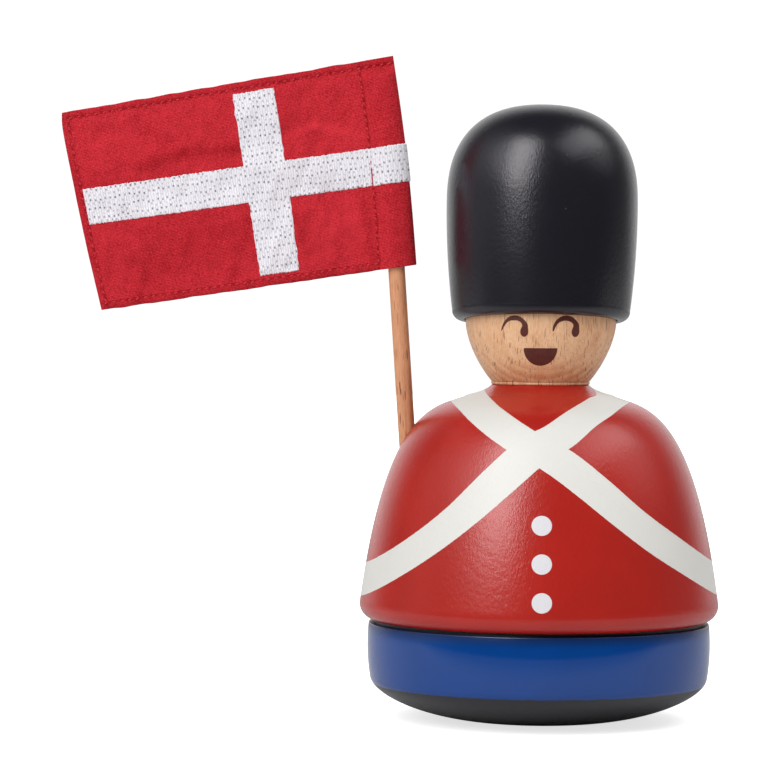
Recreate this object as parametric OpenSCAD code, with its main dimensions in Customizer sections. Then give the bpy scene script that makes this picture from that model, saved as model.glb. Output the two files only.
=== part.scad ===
// Toy soldier: a turned wooden guardsman in a tall fur hat, with a cotton flag on a pole.
// Millimetres. The figure faces -Y, its left hand is towards +X, and the flag flies towards -X.
// The origin is on the figure's axis, at the flat that it stands on.

/* [Base] */
// Widest radius of the base
base_r = 40; // [37:0.5:41]
// Height of the base, up to the underside of the coat
base_h = 23.3; // [20:0.1:28]
// Radius of the bulge down the side of the base
base_bulge_r = 49; // [40:1:200]
// Height of the widest ring of the base
base_widest_z = 17.8; // [14:0.1:19]
// Height over which the base rounds in to its foot
base_round_h = 9.8; // [7:0.1:12]
// Radius of the flat that the figure stands on
foot_r = 12; // [8:0.5:16]
// Radius on the top edge of the base
base_edge_r = 1; // [0.4:0.1:1.5]

/* [Coat] */
// Height of the coat, from its underside to the neck joint
coat_h = 55; // [50:0.5:60]
// Radius of the coat at its hem
hem_r = 41.9; // [41.5:0.1:44]
// Radius on the lower edge of the hem
hem_edge_r = 3.8; // [2:0.1:5]
// Radius of the collar at the neck joint
collar_r = 11.6; // [10.5:0.1:12.5]
// Radius at which the collar's sweep runs into the shoulders
shoulder_r = 16.9; // [15:0.1:20]
// How far the collar's sweep drops
collar_drop = 2.5; // [1.5:0.1:4]

/* [Head] */
// Radius of the head, which is a ball above its middle
head_r = 17.55; // [16:0.05:19]
// Height from the neck joint to the middle of the head
head_mid_h = 14.4; // [12:0.1:15.5]
// Depth that the curve of the cheeks and chin would reach if the neck didn't cut it
chin_depth = 21.2; // [19:0.1:24]
// Height of the turned lip round the bottom of the head
neck_lip_h = 0.8; // [0.4:0.1:1.5]
// Radius of the turned lip round the bottom of the head
neck_lip_r = 11.8; // [11:0.1:12.5]

/* [Hat] */
// Height of the hat
hat_h = 50.8; // [45:0.2:56]
// Widest radius of the hat
hat_r = 22.35; // [21.8:0.05:24]
// Height of the hat's widest ring above its rim
hat_widest_h = 27.5; // [22:0.5:32]
// Radius of the long curve down the side of the hat
hat_side_r = 195; // [150:5:400]
// Radius of the rounded rim
hat_lip_r = 2.3; // [1.5:0.1:2.6]
// Radius on the inner edge of the rim
hat_mouth_edge_r = 0.4; // [0.2:0.1:0.6]
// Gap between the head and the socket in the hat
hat_gap = 0.3; // [0.2:0.05:0.6]
// How far the hat sits tipped back
hat_tilt = 5.4; // [0:0.1:8]
// How far the hat sits tipped towards its left
hat_lean = 0.4; // [-1:0.1:1]

/* [Dowels] */
// Radius of the dowel between the base and the coat
base_dowel_r = 5; // [4:0.5:6]
// Length of the dowel between the base and the coat
base_dowel_l = 28; // [22:1:32]
// Radius of the dowel in the neck
neck_dowel_r = 4; // [3:0.5:5]
// Length of the dowel in the neck
neck_dowel_l = 20; // [14:1:22]
// Radius of the dowel between the head and the hat
crown_dowel_r = 3; // [2:0.5:4]
// Length of the dowel between the head and the hat
crown_dowel_l = 18; // [12:1:20]
// Glue gap round each dowel
glue_gap = 0.1; // [0.05:0.05:0.2]
// Room left at each end of a dowel
dowel_end_gap = 0.5; // [0.3:0.1:1]
// Bevel on the ends of the dowels and the pole
dowel_bevel = 0.5; // [0.2:0.1:0.8]

/* [Pole] */
// Radius of the flagpole
pole_r = 1.95; // [1.5:0.05:2.5]
// Length of the flagpole
pole_l = 104; // [95:0.2:120]
// How far in from the hem the pole's lower end is
pole_inset = 12.15; // [11:0.05:15]
// How far round from the figure's right the pole's lower end is, towards the back
pole_turn = 3.9; // [3:0.1:30]
// Height of the pole's lower end above the underside of the coat
pole_foot_h = 22.7; // [18:0.1:26]
// How far the pole leans out, away from the hat
pole_lean = 3.95; // [2:0.05:7]
// Clearance round the pole in its hole
pole_gap = 0.08; // [0.03:0.01:0.1]

/* [Flag] */
// Width of the finished flag, with its sleeve
flag_w = 79; // [60:0.5:100]
// Height of the finished flag
flag_h = 49.1; // [40:0.1:60]
// Thickness of one layer of the cotton
cloth_t = 0.4; // [0.3:0.05:0.5]
// Width of the sewn hem
flag_hem_w = 2.4; // [2:0.1:4]
// Width of the sleeve, from its fold to its seam
sleeve_w = 8.7; // [8.4:0.1:11]
// Room between the pole and the inside of the sleeve
sleeve_play = 0.55; // [0.45:0.05:0.8]
// Gap between the pole's top end and the hem sewn over it
pole_top_gap = 2.2; // [2:0.1:4]
// Distance from the pole's axis to the sleeve's fold, at the top
sleeve_fold_gap = 2.3; // [2.2:0.05:3.2]
// How far the pole pushes out the middle of the sleeve's fold
fold_bow_w = 0.6; // [0.5:0.05:1.5]
// How far the middle of the flag's free edge bows out
free_bow_w = 0.6; // [0:0.05:1.5]
// Slope of the sleeve's fold, from upright
fold_lean = 6.8; // [5:0.1:8]
// Droop of the flag's top edge
top_droop = 10.1; // [5:0.1:14]
// Droop of the flag's bottom edge
bottom_droop = 8.6; // [5:0.1:14]
// Depth of the flag's folds at its top edge
top_fold_depth = 0.8; // [0:0.1:4]
// Depth of the flag's folds at its bottom edge
bottom_fold_depth = 1.4; // [0:0.1:5]
// Distance from the sleeve over which the folds begin
fold_start_w = 14; // [8:1:20]
// Thickness of the embroidered cross
thread_t = 0.35; // [0.2:0.05:0.5]

/* [Hidden] */
$fn = 96;
// How far cuts run past the faces that they open
overrun = 1;
// Steps along each curve of a turned outline
curve_steps = 16;
arc_steps = 6;

// How square the rounded curves are: 2 is an ellipse, more is squarer and less is straighter
base_curve = 1.85;
chin_curve = 1.6;
hat_dome_curve = 2.5;

// Control points, as shares of the way out and of the way down
collar_shares = [[0, 0], [0.17, 0.4], [0.5, 0.7], [1, 1]];
shoulder_shares = [[0, 0], [0.297, 0.062], [0.755, 0.033], [1, 1]];

neck_z = base_h + coat_h;
head_mid_z = neck_z + head_mid_h;
socket_r = head_r + hat_gap;

// Lower end and direction of the flagpole
pole_foot_r = hem_r - pole_inset;
pole_foot = [-pole_foot_r * cos(pole_turn), pole_foot_r * sin(pole_turn), base_h + pole_foot_h];
pole_up = [-sin(pole_lean), 0, cos(pole_lean)];

// The flag's rows run down from its top edge, and its columns from the fold to the free edge
void_top_share = 0.085;
row_shares = [0, flag_hem_w / flag_h, void_top_share, 0.13, 0.2, 0.3, 0.41, 0.5, 0.59, 0.68,
              0.77, 0.86, 0.945, 1];
void_row = 2;
fold_to_pole_shares = [0, 0.08, 0.3, 0.62, 1];
pole_to_seam_shares = [0.2, 0.4, 0.6, 0.8, 1];
sheet_shares = [0.06, 0.12, 0.18, 0.24, 0.29, 0.358, 0.426, 0.49, 0.555, 0.62, 0.685, 0.75,
                0.815, 0.88, 0.975, 0.993, 1];
// The cross, in rows and in columns of the sheet
bar_rows = [6, 8];
upright_rows = [1, 12];
upright_columns_from_seam = [5, 7];
bar_end_column_from_seam = 15;
// How much of its width the sleeve keeps in front view at the flag's top and bottom, and the
// sheet beside it, which the folds draw in
kept_sleeve_shares = [0.94, 1];
kept_sheet_shares = [1, 0.935];
fold_count = 1.3;
fold_drift = 0.12;
fold_phase = 0.08;

sleeve_columns = len(fold_to_pole_shares) + len(pole_to_seam_shares);
columns = sleeve_columns + len(sheet_shares);
rows = len(row_shares);
ring = 2 * columns - 2;
void_ring = 2 * sleeve_columns - 2;

function mix(a, b, t) = a + (b - a) * t;
function unit(v) = v / norm(v);
function clamp01(t) = max(0, min(1, t));
function smooth(t) = let(s = clamp01(t)) s * s * (3 - 2 * s);
function rise(a, r) = sqrt(max(0, r * r - a * a));

// Cubic curve from one corner to the other, down and out, through its control shares
function sweep(p0, p3, shares) = [
    for (i = [0:curve_steps])
        let(t = i / curve_steps,
            b = [pow(1 - t, 3), 3 * pow(1 - t, 2) * t, 3 * (1 - t) * t * t, t * t * t],
            s = b * shares)
        [mix(p0[0], p3[0], s[0]), mix(p0[1], p3[1], s[1])]
];

// Arc round c from angle a0 to a1
function arc(c, r, a0, a1) = [
    for (i = [0:arc_steps]) let(a = mix(a0, a1, i / arc_steps)) c + r * [cos(a), sin(a)]
];

function base_side(z) = base_r - base_bulge_r + rise(z - base_widest_z, base_bulge_r);

// The base from its flat foot out and up its bulged side, in order
function base_outline() =
    let(foot = [for (i = [0:curve_steps])
            let(a = 90 - 90 * i / curve_steps, z = base_round_h * (1 - pow(sin(a), 2 / base_curve)))
            [mix(foot_r, base_side(z), pow(cos(a), 2 / base_curve)), z]],
        side_top = base_h - base_edge_r,
        side = [for (i = [1:arc_steps]) let(z = mix(base_round_h, side_top, i / arc_steps))
            [base_side(z), z]],
        edge = arc([base_side(side_top) - base_edge_r, side_top], base_edge_r, 0, 90))
    concat([[0, 0]], foot, side, [for (i = [1:arc_steps]) edge[i]], [[0, base_h]]);

// The coat from its collar out over the shoulders and down to the rounded hem
function coat_outline() =
    let(collar = sweep([collar_r, coat_h], [shoulder_r, coat_h - collar_drop], collar_shares),
        bell = sweep([shoulder_r, coat_h - collar_drop], [hem_r, hem_edge_r], shoulder_shares),
        hem = arc([hem_r - hem_edge_r, hem_edge_r], hem_edge_r, 0, -90))
    concat([[0, coat_h]], collar, [for (i = [1:curve_steps]) bell[i]],
        [for (i = [1:arc_steps]) hem[i]], [[0, 0]]);

function chin_r(depth) = head_r * pow(1 - pow(depth / chin_depth, chin_curve), 1 / chin_curve);

// The head, its middle at the origin: cheeks and chin below, a ball above
function head_outline() =
    let(lip_top = head_mid_h - neck_lip_h,
        cheeks = [for (i = [0:curve_steps]) let(d = lip_top * sin(90 * i / curve_steps))
            [chin_r(d), -d]],
        lip = arc([neck_lip_r - neck_lip_h / 2, -head_mid_h + neck_lip_h / 2],
            neck_lip_h / 2, 90, -90),
        crown = [for (i = [0:curve_steps]) let(a = 90 - 90 * i / curve_steps)
            head_r * [cos(a), sin(a)]])
    concat([for (i = [0:curve_steps - 1]) crown[i]], cheeks, lip, [[0, -head_mid_h]]);

function hat_side(h) = hat_r - hat_side_r + rise(h - hat_widest_h, hat_side_r);

// The hat over a flat rim, as the outer skin of the turning
function hat_outline() =
    let(lip_c = [hat_side(hat_lip_r) - hat_lip_r, hat_lip_r],
        lip = arc(lip_c, hat_lip_r, -90, 0),
        side = [for (i = [1:curve_steps]) let(h = mix(hat_lip_r, hat_widest_h, i / curve_steps))
            [hat_side(h), h]],
        dome = [for (i = [1:curve_steps]) let(a = 90 * i / curve_steps)
            [hat_r * pow(cos(a), 2 / hat_dome_curve),
             hat_widest_h + (hat_h - hat_widest_h) * pow(sin(a), 2 / hat_dome_curve)]])
    concat([[0, 0]], lip, side, dome);

// Round-ended outline of a dowel that starts at z0
module dowel(r, l, z0, bevel) {
    rotate_extrude()
        polygon([[0, z0], [r - bevel, z0], [r, z0 + bevel], [r, z0 + l - bevel],
            [r - bevel, z0 + l], [0, z0 + l]]);
}

// The hole that a dowel is glued into
module dowel_hole(r, l, z0) {
    translate([0, 0, z0 - dowel_end_gap])
        cylinder(r = r + glue_gap, h = l + 2 * dowel_end_gap);
}

// Puts its children in the hat's own frame, whose origin is the middle of the head
module in_hat() {
    translate([0, 0, head_mid_z]) rotate([-hat_tilt, hat_lean, 0]) children();
}

// Puts its children in the pole's own frame, whose origin is the pole's lower end
module in_pole() {
    translate(pole_foot) rotate([0, -pole_lean, 0]) children();
}

module base() {
    color("royalblue") difference() {
        rotate_extrude() polygon(base_outline());
        base_dowel_hole();
    }
}

module base_dowel_hole() {
    dowel_hole(base_dowel_r, base_dowel_l, base_h - base_dowel_l / 2);
}

module base_dowel() {
    color("burlywood") dowel(base_dowel_r, base_dowel_l, base_h - base_dowel_l / 2, dowel_bevel);
}

module coat() {
    color("firebrick") difference() {
        translate([0, 0, base_h]) rotate_extrude() polygon(coat_outline());
        base_dowel_hole();
        neck_dowel_hole();
        in_pole() translate([0, 0, -dowel_end_gap])
            cylinder(r = pole_r + pole_gap, h = pole_l);
    }
}

module neck_dowel_hole() {
    dowel_hole(neck_dowel_r, neck_dowel_l, neck_z - neck_dowel_l / 2);
}

module neck_dowel() {
    color("burlywood") dowel(neck_dowel_r, neck_dowel_l, neck_z - neck_dowel_l / 2, dowel_bevel);
}

module head() {
    color("burlywood") difference() {
        translate([0, 0, head_mid_z]) rotate_extrude() polygon(head_outline());
        neck_dowel_hole();
        crown_dowel_hole();
    }
}

module crown_dowel_hole() {
    in_hat() dowel_hole(crown_dowel_r, crown_dowel_l, head_r - crown_dowel_l / 2);
}

module crown_dowel() {
    color("burlywood")
        in_hat() dowel(crown_dowel_r, crown_dowel_l, head_r - crown_dowel_l / 2, dowel_bevel);
}

module hat() {
    color("black") difference() {
        in_hat() difference() {
            rotate_extrude() polygon(hat_outline());
            sphere(r = socket_r);
            translate([0, 0, -overrun]) cylinder(r = socket_r, h = overrun);
            hat_mouth_edge();
        }
        crown_dowel_hole();
    }
}

// The rounding that eases the edge of the socket
module hat_mouth_edge() {
    e = hat_mouth_edge_r;
    rotate_extrude()
        polygon(concat([[0, -overrun], [socket_r + e, -overrun]],
            arc([socket_r + e, e], e, -90, -180), [[0, e]]));
}

module flagpole() {
    color("burlywood") in_pole() dowel(pole_r, pole_l, 0, dowel_bevel);
}

// The flag is one cloth folded at the sleeve and sewn into a double sheet.
// Its middle surface is given by a, the distance from the fold, and v, the share down.
flag_top_point = pole_foot + pole_up * (pole_l + pole_top_gap + flag_hem_w);
flag_corner = flag_top_point - sleeve_fold_gap * row_way(0);

function row_way(v) = let(d = mix(top_droop, bottom_droop, v)) [-cos(d), 0, -sin(d)];
function kept(shares, v) = mix(shares[0], shares[1], v);
function fold_point(v) = flag_corner + v * flag_h * [sin(fold_lean), 0, -cos(fold_lean)]
    + [fold_bow_w * sin(180 * v), 0, 0];

// How far along its row, in front view, a point lies that is a from the fold on the cloth
function along_row(a, v) = a < sleeve_w
    ? a * kept(kept_sleeve_shares, v)
    : sleeve_w * kept(kept_sleeve_shares, v) + (a - sleeve_w) * kept(kept_sheet_shares, v)
        + (fold_bow_w + free_bow_w) * (a - sleeve_w) / (flag_w - sleeve_w) * sin(180 * v);

// Distance on the cloth from the fold to the pole's axis, where a row crosses it
function pole_at(v) =
    let(way = row_way(v), gap = flag_top_point - fold_point(v))
    (gap[0] * pole_up[2] - gap[2] * pole_up[0])
        / (way[0] * pole_up[2] - way[2] * pole_up[0]) / kept(kept_sleeve_shares, v);

// Soft upright folds that begin past the sleeve and deepen towards the bottom
function fold_depth(a, v) =
    smooth((a - sleeve_w) / fold_start_w) * mix(top_fold_depth, bottom_fold_depth, v)
        * sin(360 * (fold_count * a / flag_w + fold_drift * v + fold_phase));

function mid_point(a, v) =
    fold_point(v) + along_row(a, v) * row_way(v) + [0, fold_depth(a, v), 0];

// Unit vector out of the front of the sheet
function front_way(a, v) =
    let(da = flag_w / 200, dv = 0.005)
    unit(cross(mid_point(a + da, v) - mid_point(a - da, v),
               mid_point(a, v + dv) - mid_point(a, v - dv)));

// How full the sleeve is: sewn flat at the top hem, and round the pole below it
function sleeve_fill(v) =
    smooth((v - flag_hem_w / flag_h) / (void_top_share - flag_hem_w / flag_h));
function sleeve_half(v) = (pole_r + sleeve_play) * sleeve_fill(v);

// Column i of row v as [distance from the fold, half thickness], on the outside of the cloth
function outer_column(i, v) =
    let(p = pole_at(v), g = sleeve_half(v), n = len(fold_to_pole_shares))
    i < n
        ? let(s = fold_to_pole_shares[i]) [p * s, (cloth_t + g) * rise(1 - s, 1)]
        : i < sleeve_columns
            ? let(s = pole_to_seam_shares[i - n])
                [mix(p, sleeve_w, s), cloth_t + g * (1 - s * s)]
            : let(s = sheet_shares[i - sleeve_columns])
                [mix(sleeve_w, flag_w, s), i == columns - 1 ? 0 : cloth_t];

// The same inside the sleeve, one cloth further in
function inner_column(i, v) =
    let(p = pole_at(v), g = sleeve_half(v), n = len(fold_to_pole_shares))
    i < n
        ? let(s = fold_to_pole_shares[i]) [mix(cloth_t, p, s), g * rise(1 - s, 1)]
        : let(s = pole_to_seam_shares[i - n]) [mix(p, sleeve_w - cloth_t, s), g * (1 - s * s)];

// Points of a ring: down the front from the last column to the fold, and back behind
function ring_point(column, side, v) =
    mid_point(column[0], v) + side * column[1] * front_way(column[0], v);
function ring_side(j, n) = j <= n - 1 ? 1 : -1;
function ring_column(j, n) = j <= n - 1 ? n - 1 - j : j - n + 1;

// The top and bottom edges are pressed thin
function edge_share(k) = k == 0 ? 0.5 : 1;

function outer_point(k, j) =
    let(c = outer_column(ring_column(j, columns), row_shares[k]))
    ring_point([c[0], c[1] * edge_share(k)], ring_side(j, columns), row_shares[k]);
function inner_point(k, j) =
    ring_point(inner_column(ring_column(j, sleeve_columns), row_shares[k]),
        ring_side(j, sleeve_columns), row_shares[k]);

// Two triangles of a four-sided face
function quad(a, b, c, d) = [[a, b, c], [a, c, d]];

// Index of a column on the front or back of a ring of n columns that starts at first
function at_front(first, i, n) = first + n - 1 - i;
function at_back(first, i, n) =
    i == 0 ? first + n - 1 : i == n - 1 ? first : first + n - 1 + i;

module flag_cloth() {
    points = concat(
        [for (k = [0:rows - 1], j = [0:ring - 1]) outer_point(k, j)],
        [for (k = [void_row:rows - 1], j = [0:void_ring - 1]) inner_point(k, j)]);
    inner_first = rows * ring;
    last = (rows - 1) * ring;
    inner_last = inner_first + (rows - 1 - void_row) * void_ring;
    faces = [
        // outside
        for (k = [0:rows - 2], j = [0:ring - 1])
            let(a = k * ring, b = a + ring, j2 = (j + 1) % ring)
            each quad(a + j, a + j2, b + j2, b + j),
        // inside of the sleeve
        for (k = [0:rows - 2 - void_row], j = [0:void_ring - 1])
            let(a = inner_first + k * void_ring, b = a + void_ring, j2 = (j + 1) % void_ring)
            each quad(a + j, b + j, b + j2, a + j2),
        // top edge, sewn shut
        for (i = [0:columns - 2])
            each closing(0, i, columns, false),
        // top end of the sleeve's inside
        for (i = [0:sleeve_columns - 2])
            each closing(inner_first, i, sleeve_columns, true),
        // bottom edge of the sheet
        for (i = [sleeve_columns - 1:columns - 2])
            each closing(last, i, columns, true),
        // bottom edge of the sleeve, open round the pole
        for (i = [0:sleeve_columns - 2]) each concat(
            quad(at_front(last, i, columns), at_front(inner_last, i, sleeve_columns),
                at_front(inner_last, i + 1, sleeve_columns), at_front(last, i + 1, columns)),
            quad(at_back(last, i, columns), at_back(last, i + 1, columns),
                at_back(inner_last, i + 1, sleeve_columns), at_back(inner_last, i, sleeve_columns))),
        [at_front(last, sleeve_columns - 1, columns), inner_last,
            at_back(last, sleeve_columns - 1, columns)]
    ];
    color("crimson") polyhedron(points, faces, convexity = 8);
}

// Closes a ring between its front and back over one column, turned over if flip is true
function closing(first, i, n, flip) =
    let(f0 = at_front(first, i, n), f1 = at_front(first, i + 1, n),
        b0 = at_back(first, i, n), b1 = at_back(first, i + 1, n),
        tris = i == 0 ? [[f0, f1, b1]] : i == n - 2 ? [[f0, f1, b0]] : quad(f0, f1, b1, b0))
    flip ? [for (t = tris) [t[0], t[2], t[1]]] : tris;

// A cell of the outside is embroidered if it is in the bar or in one of the uprights
function stitched(k, j) =
    let(c = min(ring_column(j, columns), ring_column(j + 1, columns)) - sleeve_columns + 1)
    (k >= bar_rows[0] && k < bar_rows[1] && c < bar_end_column_from_seam)
    || (k >= upright_rows[0] && k < upright_rows[1] && c >= upright_columns_from_seam[0] + 1
        && c < upright_columns_from_seam[1] + 1);

// The outside of the cloth, raised by the thread
function thread_point(k, j) =
    let(p = outer_point(k, j),
        along = outer_point(k, min(j + 1, ring - 1)) - outer_point(k, max(j - 1, 0)),
        down = outer_point(min(k + 1, rows - 1), j) - outer_point(max(k - 1, 0), j))
    p + thread_t * unit(cross(down, along));

module flag_cross() {
    cells = [for (k = [0:rows - 2], j = [0:ring - 2]) if (stitched(k, j)) [k, j]];
    points = concat(
        [for (k = [0:rows - 1], j = [0:ring - 1]) outer_point(k, j)],
        [for (k = [0:rows - 1], j = [0:ring - 1]) thread_point(k, j)]);
    raised = rows * ring;
    faces = [for (c = cells)
        let(k = c[0], j = c[1], a = k * ring + j, b = a + 1, d = a + ring, e = d + 1) each concat(
            quad(raised + a, raised + b, raised + e, raised + d),
            quad(a, d, e, b),
            stitched(k - 1, j) ? [] : quad(a, b, raised + b, raised + a),
            stitched(k + 1, j) ? [] : quad(d, raised + d, raised + e, e),
            stitched(k, j - 1) ? [] : quad(a, raised + a, raised + d, d),
            stitched(k, j + 1) ? [] : quad(b, e, raised + e, raised + b))];
    color("white") polyhedron(points, faces, convexity = 8);
}

base();
base_dowel();
coat();
neck_dowel();
head();
crown_dowel();
hat();
flagpole();
flag_cloth();
flag_cross();
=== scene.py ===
"""Looks of the toy soldier figure: four painted or varnished turnings and a sewn flag on a pole.

Lengths in the classes are millimetres. Meshes are put into Blender in metres, in the frame's axes:
the figure stands on z = 0 at the origin and faces -y, and its flag is at its right hand, at -x.
"""

import logging
from dataclasses import dataclass, field
from enum import Enum
from typing import Callable, Sequence, Union

import bpy
import numpy as np
from mathutils import Matrix, Vector


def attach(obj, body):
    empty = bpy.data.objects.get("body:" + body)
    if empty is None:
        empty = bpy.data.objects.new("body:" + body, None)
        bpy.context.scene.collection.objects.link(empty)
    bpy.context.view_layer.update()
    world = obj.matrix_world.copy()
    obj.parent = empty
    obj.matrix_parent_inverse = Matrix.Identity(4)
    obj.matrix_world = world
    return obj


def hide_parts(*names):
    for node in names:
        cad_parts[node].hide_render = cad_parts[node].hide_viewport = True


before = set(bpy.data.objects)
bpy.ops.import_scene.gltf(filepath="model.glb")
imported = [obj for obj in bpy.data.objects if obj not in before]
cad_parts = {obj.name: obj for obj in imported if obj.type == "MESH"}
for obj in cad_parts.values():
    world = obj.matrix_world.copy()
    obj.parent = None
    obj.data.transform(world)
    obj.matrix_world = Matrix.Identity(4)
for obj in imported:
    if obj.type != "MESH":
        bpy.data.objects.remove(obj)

MM = 0.001
# A place in mm on the upright line where the wood's pith runs.
PITH = (0.0, 18.0, 0.0)
Colour = tuple[float, float, float]
Value = Union[float, Sequence[float], "Wire"]
log = logging.getLogger("soldier")


class Body(Enum):
    """The bodies of the frame that pieces ride on."""

    FIGURE = "figure"
    POLE = "pole"
    FLAG = "flag"


class Side(Enum):
    """The two layers of the flag, by the sign of their way out of the cloth along y."""

    FRONT = -1.0
    BACK = 1.0


def srgb(red: float, green: float, blue: float) -> Colour:
    """Turns a colour as seen on a screen, 0 to 255, into linear light.

    Args:
        red, green, blue: the screen values.
    Returns:
        The linear colour that a shader takes.
    """
    share = np.array([red, green, blue]) / 255.0
    return tuple(np.where(share <= 0.04045, share / 12.92, ((share + 0.055) / 1.055) ** 2.4))


def darker(colour: Colour, share: float) -> Colour:
    """The colour at a share of its light."""
    return tuple(part * share for part in colour)


# Shapes


def smooth(share: np.ndarray) -> np.ndarray:
    """Eases a share from 0 to 1: 3 s squared less 2 s cubed, held at its ends."""
    share = np.clip(share, 0.0, 1.0)
    return share * share * (3.0 - 2.0 * share)


def rounded(share: np.ndarray) -> np.ndarray:
    """Rises from 0 to 1 as a quarter of a circle does, held at its ends."""
    return np.sqrt(np.clip(1 - (1 - np.clip(share, 0, 1)) ** 2, 0, 1))


def between(ends: Sequence[float], share: np.ndarray) -> np.ndarray:
    """The number at a share of the way from the first of two ends to the second."""
    return ends[0] + (ends[1] - ends[0]) * share


def bell(distance: np.ndarray) -> np.ndarray:
    """A bell curve: e to the power of less the distance squared."""
    return np.exp(-distance ** 2)


def unit(vectors: np.ndarray) -> np.ndarray:
    """The vectors at a length of 1."""
    return vectors / np.linalg.norm(vectors, axis=-1, keepdims=True)


def smooth_curve(heights: Sequence[float], turn: np.ndarray) -> np.ndarray:
    """A curve through heights at even steps from -1 to 1, made of cubics that meet smoothly.

    Args:
        heights: the curve's heights.
        turn: where it is wanted, -1 to 1.
    Returns:
        Its height at each place.
    """
    knots = np.asarray(heights, float)
    slope = np.gradient(knots)
    place = (np.clip(turn, -1, 1) + 1) / 2 * (len(knots) - 1)
    i = np.minimum(place.astype(int), len(knots) - 2)
    t = place - i
    return (knots[i] * (2 * t ** 3 - 3 * t ** 2 + 1) + slope[i] * (t ** 3 - 2 * t ** 2 + t)
            + knots[i + 1] * (3 * t ** 2 - 2 * t ** 3) + slope[i + 1] * (t ** 3 - t ** 2))


def ripples(u: np.ndarray, w: np.ndarray, length: float, seed: int, count: int = 9) -> np.ndarray:
    """Soft unevenness over two coordinates: a sum of plane waves with seeded ways and phases.

    Args:
        u, w: coordinates in millimetres, as arrays of one shape.
        length: about the distance from crest to crest.
        seed: the seed of the ways, phases and lengths.
        count: how many waves are added.
    Returns:
        Heights over the same shape, most of them between -1 and 1.
    """
    draw = np.random.default_rng(seed)
    way, phase = draw.uniform(0, np.pi, count), draw.uniform(0, 2 * np.pi, count)
    pace = 2 * np.pi / (length * draw.uniform(0.65, 1.5, count))
    along = u[..., None] * np.cos(way) + w[..., None] * np.sin(way)
    return np.sin(pace * along + phase).sum(-1) / np.sqrt(count)


def turned_frame(tilt: float = 0.0, lean: float = 0.0) -> np.ndarray:
    """Rotation about x by tilt and then about y by lean, in degrees, as a 3 by 3 array."""
    return np.array(Matrix.Rotation(np.radians(lean), 3, "Y")
                    @ Matrix.Rotation(np.radians(tilt), 3, "X"))


def full_turn(count: int) -> np.ndarray:
    """Even angles all the way round, in radians."""
    return np.linspace(0, 2 * np.pi, count + 1)[:-1]


def arc(centre: Sequence[float], radius: float, start: float, end: float, steps: int) -> np.ndarray:
    """Points (r, z) on a circle from one angle to another, in degrees."""
    angle = np.radians(np.linspace(start, end, steps + 1))
    return np.array(centre) + radius * np.stack([np.cos(angle), np.sin(angle)], -1)


def superellipse(start: float, end: float, steps: int, curve: float) -> np.ndarray:
    """Points on a unit superellipse between two angles in degrees.

    Args:
        start, end: the angles, from 0 to 90.
        steps: how many steps the curve has.
        curve: how full it is: 2 is a circle, and more is squarer.
    Returns:
        The cosine and the sine of each angle, to the power 2 / curve.
    """
    angle = np.radians(np.linspace(start, end, steps + 1))
    return np.stack([np.cos(angle), np.sin(angle)], -1).clip(0, 1) ** (2 / curve)


def sweep(start: Sequence[float], end: Sequence[float], shares: Sequence[Sequence[float]],
          steps: int) -> np.ndarray:
    """A cubic curve between two corners of an outline.

    Args:
        start, end: the corners (r, z).
        shares: four control points, as shares of the way from start to end.
        steps: how many steps the curve has.
    Returns:
        Points (r, z): start plus (end less start) times the cubic Bezier of the shares.
    """
    t = np.linspace(0, 1, steps + 1)[:, None]
    weights = np.concatenate([(1 - t) ** 3, 3 * (1 - t) ** 2 * t, 3 * (1 - t) * t * t, t ** 3], 1)
    return np.array(start) + (np.array(end) - np.array(start)) * (weights @ np.array(shares))


def grid_faces(rows: int, columns: int, start: int = 0, ring: bool = False) -> np.ndarray:
    """Four-sided faces of a grid of points numbered row by row.

    Args:
        rows, columns: how many points the grid has each way.
        start: the number of its first point.
        ring: whether the last column joins the first.
    Returns:
        An array of point numbers, four to a face.
    """
    row, column = np.meshgrid(np.arange(rows - 1), np.arange(columns - (not ring)), indexing="ij")
    after = (column + 1) % columns
    corners = [row * columns + column, row * columns + after,
               (row + 1) * columns + after, (row + 1) * columns + column]
    return np.stack(corners, -1).reshape(-1, 4) + start


def make_piece(name: str, points: np.ndarray, faces: Sequence[Sequence[int]],
               sharp: float = 180.0) -> bpy.types.Object:
    """Puts points in millimetres and faces into a new object at the origin.

    Args:
        name: the object's name.
        points: an array of points, three numbers each.
        faces: point numbers of each face, outwards by the right-hand rule.
        sharp: edges bent by more than this many degrees stay crisp.
    Returns:
        The new object, shaded smooth.
    """
    mesh = bpy.data.meshes.new(name)
    mesh.from_pydata((np.asarray(points) * MM).tolist(), [], faces)
    mesh.polygons.foreach_set("use_smooth", np.ones(len(mesh.polygons), bool))
    if sharp < 180.0:
        mesh.set_sharp_from_angle(angle=np.radians(sharp))
    mesh.update()
    piece = bpy.data.objects.new(name, mesh)
    bpy.context.scene.collection.objects.link(piece)
    return piece


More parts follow.
